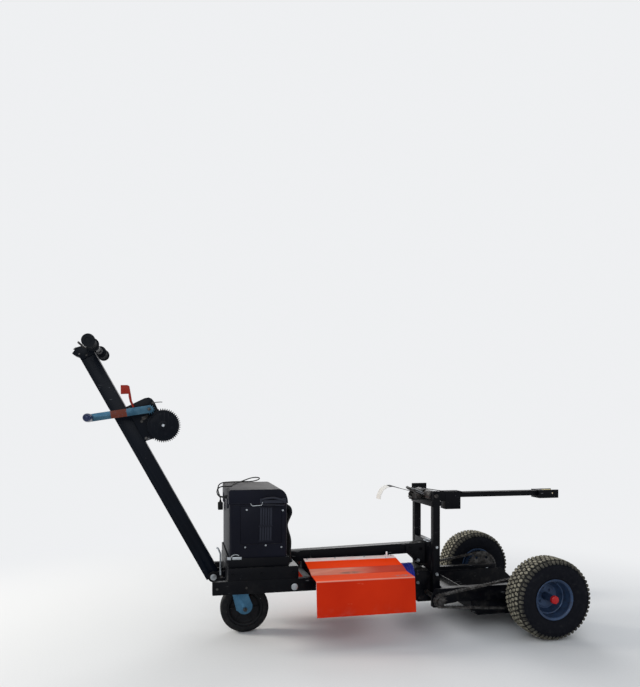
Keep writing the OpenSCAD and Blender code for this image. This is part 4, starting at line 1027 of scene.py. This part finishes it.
def cords():
    """The charging lead with its plug, and the power cables with their boots."""
    points = [(CASE_X + x, y, CASE_TOP + z) for x, y, z in LEAD_LINE]
    lead = [mm(*point) for point in points]
    jacket = cord_curve("charge_lead_jacket", lead, 0.005, "charge_lead", 4)
    plug = charge_plug(*points[-1])
    relief = tube([lead[0] + local(t, 0, 0) for t in (11.8, 9.5, 9.2, 6, 5.5, 3, 2.5, 0)],
                  [8, 8, 6.6, 6.2, 5.5, 5.2, 4.6, 4], 24)
    sleeve = tube(smooth_path(points[:4], 4), [4 - 0.1 * k for k in range(13)], 20)
    piece("lead_strain_relief", [relief, sleeve], "lead_black", "root", sharp=38)
    for name, y in CABLE_ROWS.items():
        line = smooth_path([(CASE_REAR + x, DECK_TOP + z) for x, z in CABLE_LINE], y=y)
        cable = cord_curve("power_cable_" + name, line[BOOT_POINTS:], 0.012, "power_cables", 6)
        boot = tube(line[:len(BOOT_RADII)], BOOT_RADII, 24)
        foot = revolve(CABLE_FOOT, line[-1], 32, axis="Z")
        piece("cable_boots_" + name, [boot, foot], "grip_black", "root", sharp=38)


# Plain steel pieces keep the solid's shape with their edges broken

SOFTENED = {
    "rear_frame": 2.2, "cradle_pan": 1.2, "mast_posts": 2.8, "mast_braces": 1.2, "arm_receiver": 1.8, "arm_bar": 1.8,
    "yoke": 1.8, "yoke_pads": 1.2, "spine_beam": 3.2, "front_rails": 2.2, "deck_box": 3, "battery_tray": 1,
    "cover_ribs": 0.6, "gearbox": 4, "caster_plate": 1, "caster_fork": 1.4, "foot_bracket": 1.2, "latch_hook": 0.8,
    "pivot_pin": 1, "tongue_tube": 5, "control_box": 2.5, "brake_lever": 1.4, "winch_frame": 0.8,
    "release_lever": 1.4, "crank_arm": 1, "ratchet": 0.8, "strap_roller": 1.4, "stub_axles": 1, "frame_bolts": 1.4,
    "handlebar": 1.6, "winch_drum": 0.4, "drive_sprocket_near": 0.4, "drive_sprocket_far": 0.4,
    "sprocket_near": 0.4, "sprocket_far": 0.4}


# Battery case

CORNER_ANGLE = 0.5


def weighted(mesh, width, weight):
    """Rounds a mesh's edges by width times the weight that weight(middle, direction) gives each."""
    bm = bmesh.new()
    bm.from_mesh(mesh)
    layer = bm.edges.layers.float.get("bevel_weight_edge") or bm.edges.layers.float.new("bevel_weight_edge")
    for edge in bm.edges:
        if edge.is_manifold and edge.calc_face_angle(0) > CORNER_ANGLE:
            a, b = (v.co for v in edge.verts)
            edge[layer] = weight((a + b) / 2, (b - a).normalized())
    bm.to_mesh(mesh)
    bm.free()
    return with_modifiers(mesh, ("BEVEL", {"width": width / 1000, "segments": 4, "limit_method": "WEIGHT"}))


def upright_corners(others):
    """Full weight on upright edges and little on the others."""
    return lambda at, along: 1.0 if abs(along.z) > 0.9 else others


LID_SEAM = 0.5582


def lid_weight(at, along):
    """The lid's lower edges stay crisp, its front corners are full and its long edges half."""
    if at.z < LID_SEAM:
        return 0.08
    if abs(along.z) > 0.9 and at.x < mm(CASE_X + 20, 0, 0).x:
        return 1.0
    return 0.5 if abs(along.y) < 0.5 else 0.0


def battery_case():
    """Box with a recess, neck, lid with a sloping shoulder, rim and latches."""
    body = weighted(block((-1286, -189.5, 312), (-1057, 189.5, 556), 0), 14, upright_corners(0.16))
    cutter = in_scene("cutter", block((-1244.5, -195, 398.5), (-1078.5, -185.6, 549.5), 2.2))
    body = with_modifiers(body, ("BOOLEAN", {"object": cutter, "operation": "DIFFERENCE", "solver": "EXACT"}))
    dropped(cutter)
    neck = block((-1284.5, -188, 555), (-1058.5, 188, 558.5), 0.8)
    shoulder = [(-1090.3 + 36 * cos(a), 558.7 + 56 * sin(a)) for a in (pi / 16 * k for k in range(9))]
    outline = [(-1288.7, 557.5), (-1054.3, 557.5), *shoulder, (-1282.7, 614.7), (-1288.7, 608.7)]
    lid = weighted(extruded(outline, -192.2, 192.2), 16, lid_weight)
    rim = weighted(block((-1288.9, -192.4, 557.3), (-1054.1, 192.4, 563), 0), 14, upright_corners(0.1))
    piece("battery_box", [body, neck, lid, rim], "case_plastic", "root", ["battery_case"], sharp=30)
    latches = [block((low, y - 14, 536), (high, y + 14, top), bevel) for y in (-120, 120)
               for low, high, top, bevel in ((-1292.4, -1286, 574, 1.6), (-1054.5, -1051, 570, 1.4))]
    piece("lid_latches", latches, "vent_grey", "root")


def vents():
    """A plate in a recess, with two groups of slanting louvres between rails, and five screws."""
    plate = block((-1243.6, -189, 399.4), (-1079.4, -184.5, 548.6), 1.6)
    piece("vent_plate", plate, "case_plastic", "root", ["vent_panel"])
    parts = []
    for x, z, tall in ((-1165, 473, 68), (-1167, 413, 52)):
        fin = extruded([(-4.2, 0), (3.4, 0), (4.2, tall), (-3.2, tall)], -3.5, 0, 0.6, place=local)
        fin.transform(Matrix.Translation(mm(x + 2.5, -188.6, z)))
        parts += [row(fin, "vent_grey", 5, (10, 0, 0))]
        parts += [block((x - 5, -189.8, z + low), (x + 50, -188.6, z + low + 2), 0.4) for low in (-4, tall + 2)]
    piece("vent_louvres", parts, "vent_grey", "root", sharp=35)
    bolts("vent_screws", "root", "zinc", 6, [(mm(x, y, z), (0, -1, 0)) for x, y, z in (
        (-1219, -188.9, 535), (-1075, -189.4, 530), (-1225, -189.4, 388), (-1081, -189.4, 384),
        (-1144, -189.4, 393))])


def handle():
    """A moulded carrying handle, swollen where it is fixed, with a lip, lugs and a web, and a wire beside it."""
    line = smooth_path((
        (-1158, -192.4, 573), (-1157, -197, 575), (-1150, -202, 578), (-1140, -205, 580), (-1128, -206.5, 581.5),
        (-1116, -207, 582), (-1104, -206.5, 580), (-1090, -205, 576), (-1078, -202, 571), (-1070, -197, 566),
        (-1069, -192.4, 563)))
    half = (len(line) - 1) / 2
    bar = tube(line, [4.2 + 2.2 * abs(k / half - 1) ** 4 for k in range(len(line))], 14)
    lip = tube(smooth_path((
        (-1158, -194, 559), (-1154, -200, 555), (-1140, -203, 553.5), (-1115, -204, 553.5), (-1090, -203, 552),
        (-1074, -199, 551), (-1069, -194, 552))), 2.4, 10)
    lugs = [block((x - 9, -195.5, 559), (x + 9, -192, 579), 1.8) for x in (-1158, -1070)]
    web = block((-1152, -203, 560), (-1078, -199.5, 573), 1.2)
    piece("case_grip", [bar, lip, *lugs, web], "vent_grey", "root", ["case_handle"], sharp=40)
    wire = smooth_path(((-1204, 561), (-1201, 555), (-1196, 551), (-1180, 551.5), (-1164, 552.5), (-1159, 557),
                        (-1156, 565)), y=-195)
    piece("handle_wire", tube(wire, 1.6, 10), "zinc", "root")


# Lifting strap

STRAP_LAP = 1.55
STRAP_SECTION = [(-1, 0), (-0.985, 1), (-0.5, 1), (0, 1), (0.5, 1), (0.985, 1), (1, 0), (0.985, -1), (0, -1),
                 (-0.985, -1)]
STRAP_ROLLER_X, STRAP_ROLLER_Z, STRAP_ROLLER_R = -398, 565, 20
RATCHET_X, RATCHET_Z, RATCHET_TOP = -446, 562, 571
TAIL_TWIST, TWIST_FROM, TWIST_OVER = -5, 0.66, 0.07


def strap():
    """Webbing from the yoke over the roller and round the ratchet, with a curled tail, woven along its length."""
    reach = STRAP_ROLLER_R + STRAP_LAP
    line = [(146, 566 + STRAP_LAP), (-224, 566 + STRAP_LAP), (-236, 572 + STRAP_LAP), (-312, 572 + STRAP_LAP)]
    line += [(STRAP_ROLLER_X + reach * cos(radians(a)), STRAP_ROLLER_Z + reach * sin(radians(a)))
             for a in (82, 91, 100, 109)]
    line += [(RATCHET_X + x, RATCHET_TOP + STRAP_LAP) for x in (5, -5)]
    line += [(-506, 587), (-558, 602), (-582, 600), (-602, 587), (-614, 565), (-618, 545)]
    line = [mm(x, 0, z) for x, z in rounded(line, 9, 4)]
    bm = bmesh.new()
    along_layer = bm.loops.layers.uv.new("along")
    rings, travelled = [], [0.0]
    for i, q in enumerate(line):
        if i:
            travelled.append(travelled[-1] + (q - line[i - 1]).length)
        ahead = heading(line, i)
        up = Vector((ahead.z, 0, -ahead.x))
        share = min(1, max(0, (travelled[-1] - TWIST_FROM) / TWIST_OVER))
        twist = Matrix.Rotation(radians(TAIL_TWIST) * share, 3, ahead)
        rings.append([bm.verts.new(q + twist @ (Vector((0, w * STRAP_WIDTH / 2, 0)) + up * h * STRAP_THICK / 2))
                      for w, h in STRAP_SECTION])
    skinned(bm, rings)
    place_of = {v: (at, (w + 1) / 2 * STRAP_WIDTH) for at, ring in zip(travelled, rings)
                for v, (w, _) in zip(ring, STRAP_SECTION)}
    for face in bm.faces:
        for loop in face.loops:
            loop[along_layer].uv = place_of[loop.vert]
    capped(bm, rings)
    web = piece("strap_webbing", from_bmesh(bm, outward=True), "strap_web", "root", ["lift_strap"], sharp=50)


RATCHET_PLATE = [(-478, 590), (-472, 598), (-452, 588), (-430, 578), (-396, 562), (-390, 555), (-396, 552),
                 (-432, 566), (-454, 574), (-474, 584)]
RATCHET_RODS = (((-476, 591), (-462, 590), (-440, 581), (-412, 568), (-396, 558)),
                ((-452, 579), (-432, 570), (-408, 560)))


def ratchet_details():
    """Handle plates with their grip, toothed wheels and rods of the strap's ratchet."""
    bars = [extruded(RATCHET_PLATE, y, y + 2.5, 0.6) for y in (-30.5, 28)]
    bars.append(tube([mm(-474, y, 591) for y in (-30.5, -29, 29, 30.5)], [4, 4.8, 4.8, 4], 14))
    teeth = [(RATCHET_X + r * cos(a), RATCHET_Z + r * sin(a))
             for a, r in ((pi / 11 * k, 15.5 if k % 2 else 11.5) for k in range(22))]
    wheel = [extruded(teeth, y, y + 3) for y in (-24.5, 21.5)]
    piece("ratchet_handle", bars + wheel, "dark_steel", "root")
    rods = [tube(smooth_path(line, y=y), 1.6, 10) for y in (-32.2, 32.2) for line in RATCHET_RODS]
    piece("ratchet_rods", rods, "zinc", "root")
    bolts("ratchet_bolts", "root", "dark_steel", 8,
          [(mm(x, -30.4, z), (0, -1, 0)) for x, z in ((RATCHET_X, RATCHET_Z), (-404, 557))])


# Tongue: grips, winch details and controls

BAR = local(42.8, 0, 1044)
GRIP_START = [(13, 120.5), (23.5, 120.2), (24.9, 121.5), (24.9, 124.5), (23.6, 125.8), (19, 127.5)]
GRIP_END = [(19, 236.8), (23.6, 238.4), (24.9, 239.6), (24.9, 242.4), (23.8, 243.6), (12, 243.9), (12, 241),
            (13, 240)]
CRANK_REACH, CRANK_TURN = 226, -70.5
CRANK_GRIP = [(5.4, -105.2), (11, -105.2), (13.2, -106.2), (14.6, -108.5), (15.8, -116), (16.6, -130), (16.9, -148),
              (16.7, -165), (16, -178), (15, -186), (13.6, -189.8), (11.2, -190.9), (8.6, -190.6), (7.8, -189),
              (5.4, -188.8)]


def tongue_piece(name, mesh, slot, body="tongue", replaces=(), sharp=35):
    """A mesh made in the tongue's own frame, put in its place."""
    mesh = joined(*mesh) if isinstance(mesh, list) else mesh
    mesh.transform(TONGUE)
    piece(name, mesh, slot, body, replaces, sharp)


def ribs(count, start, step, low, high, shape):
    """Round ribs along a profile, each one rising from low to high at the four places in shape."""
    return [(r, start + step * k + at) for k in range(count) for r, at in zip((low, high, high, low), shape)]


def grips():
    """Ribbed rubber sleeves with a flange at each end."""
    outline = GRIP_START + ribs(12, 130, 8.8, 16.8, 17.9, (0, 1.6, 5.6, 7.2)) + GRIP_END
    for name, sign in SIDES.items():
        end = revolve([(0, 240.1), (12.4, 240.1), (12, 241.6), (0, 242)], BAR, 32, sign=sign)
        tongue_piece("handle_grip_" + name, [revolve(outline, BAR, 40, sign=sign), end], "grip_black", "tongue",
                     ["grips"], sharp=42)


def crank_grip():
    """A turned hand grip on the crank's pin, with a hollow end."""
    tilt = radians(CRANK_TURN)
    centre = CRANK_SHAFT + local(CRANK_REACH * sin(tilt), 0, CRANK_REACH * cos(tilt))
    tongue_piece("crank_hand_grip", revolve(CRANK_GRIP, centre, 48), "grip_navy", "winch_crank", ["crank_grip"])
    nut = revolve([(0, -188), (7, -188), (7, -190.2), (5, -190.8), (0, -190.9)], centre, 24)
    tongue_piece("crank_grip_pin", nut, "grip_navy", "winch_crank")


def winch_details():
    """Boss, dimples and rim ring on the gear, nuts on both shafts, spring, rivets, pawl and frame bolts."""
    ring = revolve([(53, -49), (59, -49), (58.6, -50), (53.4, -50)], WINCH_SHAFT, 72)
    boss = revolve([(0, -48.8), (19, -48.8), (18.5, -51.2), (12, -52), (0, -52)], WINCH_SHAFT, 40)
    web = [revolve([(0, -48.8), (7.5, -48.8), (7.1, -49.7), (0, -49.9)],
                   WINCH_SHAFT + local(36.5 * cos(a), 0, 36.5 * sin(a)), 24)
           for a in (pi / 3 * k + 0.3 for k in range(6))]
    tongue_piece("gear_ring", [ring, boss, *web], "tongue_black", "winch_drum")
    for name, body, slot, shaft, y, size in (
            ("drum_nut", "winch_drum", "zinc", WINCH_SHAFT, -51.9, 9.8),
            ("crank_nut", "winch_crank", "dark_steel", CRANK_SHAFT, -103.8, 10)):
        bolts(name, body, slot, size, [(TONGUE @ (shaft + local(0, y, 0)), (0, -1, 0))])
        stub = tube([shaft + local(0, y - d, 0) for d in (4, 12.5, 13.8)], [4.8, 4.8, 3.8], 18)
        tongue_piece(name + "_thread", stub, slot, body)
    spring = tube(smooth_path(((132, 744), (140, 742.5), (150, 738.5), (160, 734), (166, 730)), y=-39.5, place=local),
                  1.7, 10)
    rivets = [revolve([(0, -36.8), (6.2, -36.8), (6, -38.8), (4, -40.4), (0, -40.8)], local(x, 0, z), 20)
              for x, z in ((132, 744), (40.5, 632), (40.5, 768), (58, 700))]
    tongue_piece("winch_fixings", [spring, *rivets], "dark_steel")
    pawl = extruded([(60, 706), (68, 700), (82, 702), (92.5, 708.5), (91.5, 713.5), (80, 713), (66, 716)],
                    -40.5, -37.2, 0.5, place=local)
    tongue_piece("winch_pawl", pawl, "dark_steel", sharp=32)
    behind = TONGUE.to_3x3() @ Vector((1, 0, 0))
    bolts("winch_bolts", "tongue", "zinc", 10,
          [(TONGUE @ local(33.8, y, z), behind) for y in (-20, 20) for z in (640, 765)])


def tongue_controls():
    """Clamps of the handlebar, a dial, a key switch and the screws of the control box."""
    half = [(12.7, -6), (15, -6), (15.5, -5)]
    clamps = [revolve([(r, y + t) for r, t in mirrored(half)], BAR, 36) for y in (-46, 46)]
    tongue_piece("bar_clamps", clamps, "tongue_black")
    dial = revolve([(0, 0), (12, 0), (11.8, 5), (10, 7.5), (0, 7.8)], Vector(), 28, axis="Z")
    dial.transform(Matrix.Translation(local(6, 14, 1068.8)) @ Matrix.Rotation(radians(-8), 4, "Y"))
    tongue_piece("speed_dial", dial, "grip_black", sharp=40)
    key = tube([local(x, -16, z) for x, z in ((-29, 1076), (-29.2, 1079), (-29.3, 1079.5), (-29.4, 1080.2))],
               [7.5, 7.5, 6.8, 4], 24)
    tongue_piece("key_switch", key, "dark_steel")
    bolts("control_screws", "tongue", "dark_steel", 6,
          [(TONGUE @ local(x, -34, z), (0, -1, 0)) for x, z in ((-24, 1048), (22, 1048), (-2, 1032))])


# Motor, gearbox and fixings

def motor():
    """Finned motor housing with its end bell and through bolts."""
    start = mm(-487.7, -58, 213)
    outline = [(0, 0), (54.5, 0), (55.8, 1.5), (56, 10), (53.5, 12.5)]
    outline += ribs(10, 15, 11.5, 53.5, 54.8, (0, 1.2, 5.5, 6.8))
    outline += [(53.5, 131), (56, 132.5), (56, 150), (55.2, 153.5), (43, 154), (42, 155), (41.5, 164), (39.5, 165.8),
                (0, 166)]
    piece("motor_housing", revolve(outline, start, 64, axis="X", sign=-1), "motor_blue", "root", ["motor"], sharp=35)
    bolts("motor_bolts", "root", "zinc", 8,
          [(start + local(-153.8, 48 * cos(a), 48 * sin(a)), (-1, 0, 0)) for a in four_corners()])


# Bolt heads on the frame: slot, size, sides, and what they face in Y and Z and where they are on the far side
FIXINGS = {
    "mast_bolts": ("zinc", 11, BOTH, (1, 0), [(-442, 28.6, 272), (-395, 127.6, 228)]),
    "bracket_bolts": ("frame_black", 11, BOTH, (1, 0), [(-472, 28.6, 300), (-430, 28.6, 322), (-478, 28.6, 330)]),
    "gearbox_bolts": ("zinc", 11, BOTH, (1, 0), [(-468, 92.6, 188)]),
    "gearbox_cap_bolts": ("dark_steel", 9, BOTH, (1, 0), [(-470, 92.6, 226), (-400, 92.6, 120), (-462, 92.6, 122)]),
    "plate_bolts": ("frame_black", 10, (1,), (1, 0), [(-402, 133.6, 537), (-352, 133.6, 537), (-352, 133.6, 590)]),
    "deck_bolts": ("frame_black", 8, BOTH, (1, 0), [(x, 205.1, 284) for x in (-1275, -1160, -1032)]),
    "rail_bolts": ("dark_steel", 8, BOTH, (1, 0), [(x, 205.1, 232) for x in (-1335, -1222)]),
    "caster_plate_bolts": ("zinc", 10, BOTH, (0, -1), [(-1263, 48, 247), (-1213, 48, 247)]),
    "foot_bolts": ("dark_steel", 10, BOTH, (1, 0), [(-1309, 39.1, 243)]),
    "cover_screws": ("zinc", 5.5, BOTH, (-0.164, 0.986), [(x, 60, 303.5) for x in (-950, -830, -700, -580)]),
}
STUD = [(0, 6.5), (1.5, 6.5), (2, 2.6), (10, 2.6), (10.5, 4), (24, 4), (26.5, 3.4), (28, 1.8)]


def fixings():
    """Bolt heads, cover studs, and plated clips and hook on the frame."""
    for name, (slot, size, sides, (face_y, face_z), places) in FIXINGS.items():
        bolts(name, "root", slot, size,
              [(mm(x, s * y, z), (0, s * face_y, face_z)) for s in sides for x, y, z in places])
    studs = [tube([mm(-607, s * 84, 299.5 + t) for t, _ in STUD], [r for _, r in STUD], 16) for s in BOTH]
    piece("cover_studs", studs, "case_stud", "root", sharp=35)
    clips = [block((-428, y, 364), (-392, y + 14, 367), 0.6) for y in (-98, -66)]
    clips.append(tube([mm(-414, y, 371) for y in (-100, -99, -51, -50)], [3.5, 4.5, 4.5, 3.5], 14))
    hook = smooth_path(((-1283, 350), (-1276, 358), (-1266, 362), (-1256, 361), (-1250, 357)), y=-199)
    clips += [tube(hook, 1.8, 10), block((-1296, -201, 342), (-1281, -196, 353), 1),
              block((-1276, -200.5, 342), (-1240, -196, 353), 1.2)]
    piece("plated_clips", clips, "zinc", "root", sharp=35)


# Caster wheel

CASTER_TREAD = [(76, -24.6), (91.5, -24.9), (96.5, -23.2), (99.5, -20), (101, -15), (101.3, -9.2), (99.8, -8.6),
                (99.8, -6.6), (101.4, -6)]
CASTER_HUB = [(6.2, -29), (18.5, -28.8), (19.8, -27), (20, -12), (22.5, -6.5), (56, -5), (62, -8.5), (66.5, -19),
              (68, -19.8), (74.5, -19.8), (75.5, -18.5)]


def caster():
    """Grooved tread, ribbed core and axle nuts of the caster wheel."""
    centre = mm(-1210, 0, 101.5)
    tread = revolve(mirrored(CASTER_TREAD), centre)
    piece("caster_tread", tread, "caster_rubber", "caster_wheel", ["caster_tyre"], sharp=35)
    core = [revolve(mirrored(CASTER_HUB), centre, 72)]
    for s in BOTH:
        for k in range(6):
            rib = block((22, -3, 4.5), (60, 3, 13), 1.2, place=local)
            rib.transform(Matrix.Translation(centre) @ Matrix.Rotation(s * pi / 2, 4, "X")
                          @ Matrix.Rotation(pi / 3 * k, 4, "Z"))
            core.append(rib)
    piece("caster_core", core, "caster_core", "caster_wheel", ["caster_hub"], sharp=30)
    bolts("caster_axle_nuts", "caster_swivel", "dark_steel", 14,
          [(centre + local(0, s * 42.8, 0), (0, s, 0)) for s in BOTH])


cords()
for node_name, width in SOFTENED.items():
    softened(node_name, width, "dark_steel" if node_name == "ratchet" else slot_of_node[node_name])
for make in (battery_case, vents, handle, strap, ratchet_details, grips, crank_grip, winch_details, tongue_controls,
             motor, fixings, caster, wheels, chains, covers):
    make()


# Floor, backdrop and light

PALE = rgb(0.86, 0.87, 0.885)
# Lights: place, target, size, power and colour
LIGHTS = {
    "key_light": ((-4.2, 1.2, 2.6), (-0.3, 0, 0.35), 1.4, 132, (1.0, 0.94, 0.84)),
    "fill_light": ((-1.5, -4.4, 2.6), (0.0, 0, 0.3), 3.0, 60, (0.92, 0.96, 1.0)),
    "back_light": ((1.6, 3.8, 3.2), (0.0, 0, 0.4), 3.0, 70, (1.0, 1.0, 1.0)),
}


FLOOR_R, FLOOR_Z, GLOW_GROWS = 60, -0.0005, (1.1, 2.6)


def floor():
    """A pale floor that turns into an even glow away from the object."""
    bm = bmesh.new()
    bmesh.ops.create_circle(bm, cap_ends=True, segments=96, radius=FLOOR_R, matrix=Matrix.Translation((0, 0, FLOOR_Z)))
    ground = in_scene("floor", from_bmesh(bm))
    f = Finish("floor_pale")
    base = f.mix(f.noise(160), rgb(0.7, 0.71, 0.72), rgb(0.76, 0.77, 0.78))
    matt = f.out("ShaderNodeBsdfPrincipled", {"Base Color": base, "Roughness": 0.9, "Specular IOR Level": 0.2})
    glow = f.out("ShaderNodeEmission", {"Color": PALE, "Strength": 1.0})
    away = distance(f.x, f.y).step(*GLOW_GROWS)
    ground.data.materials.append(f.surfaced(f.out("ShaderNodeMixShader", {0: away, 1: matt, 2: glow})))


def studio():
    """A plain pale surround that the camera sees, over an even light that the pieces get, and three lamps."""
    world = bpy.data.worlds.new("studio")
    bpy.context.scene.world = world
    world.use_nodes = True
    g = Graph(world.node_tree)
    g.tree.nodes.clear()
    camera_ray, glossy, transmission = (Num(g, socket) for socket in map(
        g.add("ShaderNodeLightPath").outputs.get, ("Is Camera Ray", "Is Glossy Ray", "Is Transmission Ray")))
    light, shown = (g.out("ShaderNodeBackground", {"Color": colour, "Strength": strength})
                    for colour, strength in ((rgb(0.93, 0.96, 1.0), 0.56), (PALE, 1.0)))
    seen = camera_ray.most(glossy).most(transmission)
    g.add("ShaderNodeOutputWorld", {"Surface": g.out("ShaderNodeMixShader", {0: seen, 1: light, 2: shown})})
    for name, (place, target, size, power, colour) in LIGHTS.items():
        lamp = in_scene(name, bpy.data.lights.new(name, "AREA"))
        lamp.data.shape, lamp.data.size, lamp.data.energy, lamp.data.color = "DISK", size, power, colour
        lamp.location = place
        lamp.rotation_euler = (Vector(target) - Vector(place)).to_track_quat("-Z", "Y").to_euler()
    bpy.context.scene.view_settings.view_transform = "Standard"


floor()
studio()
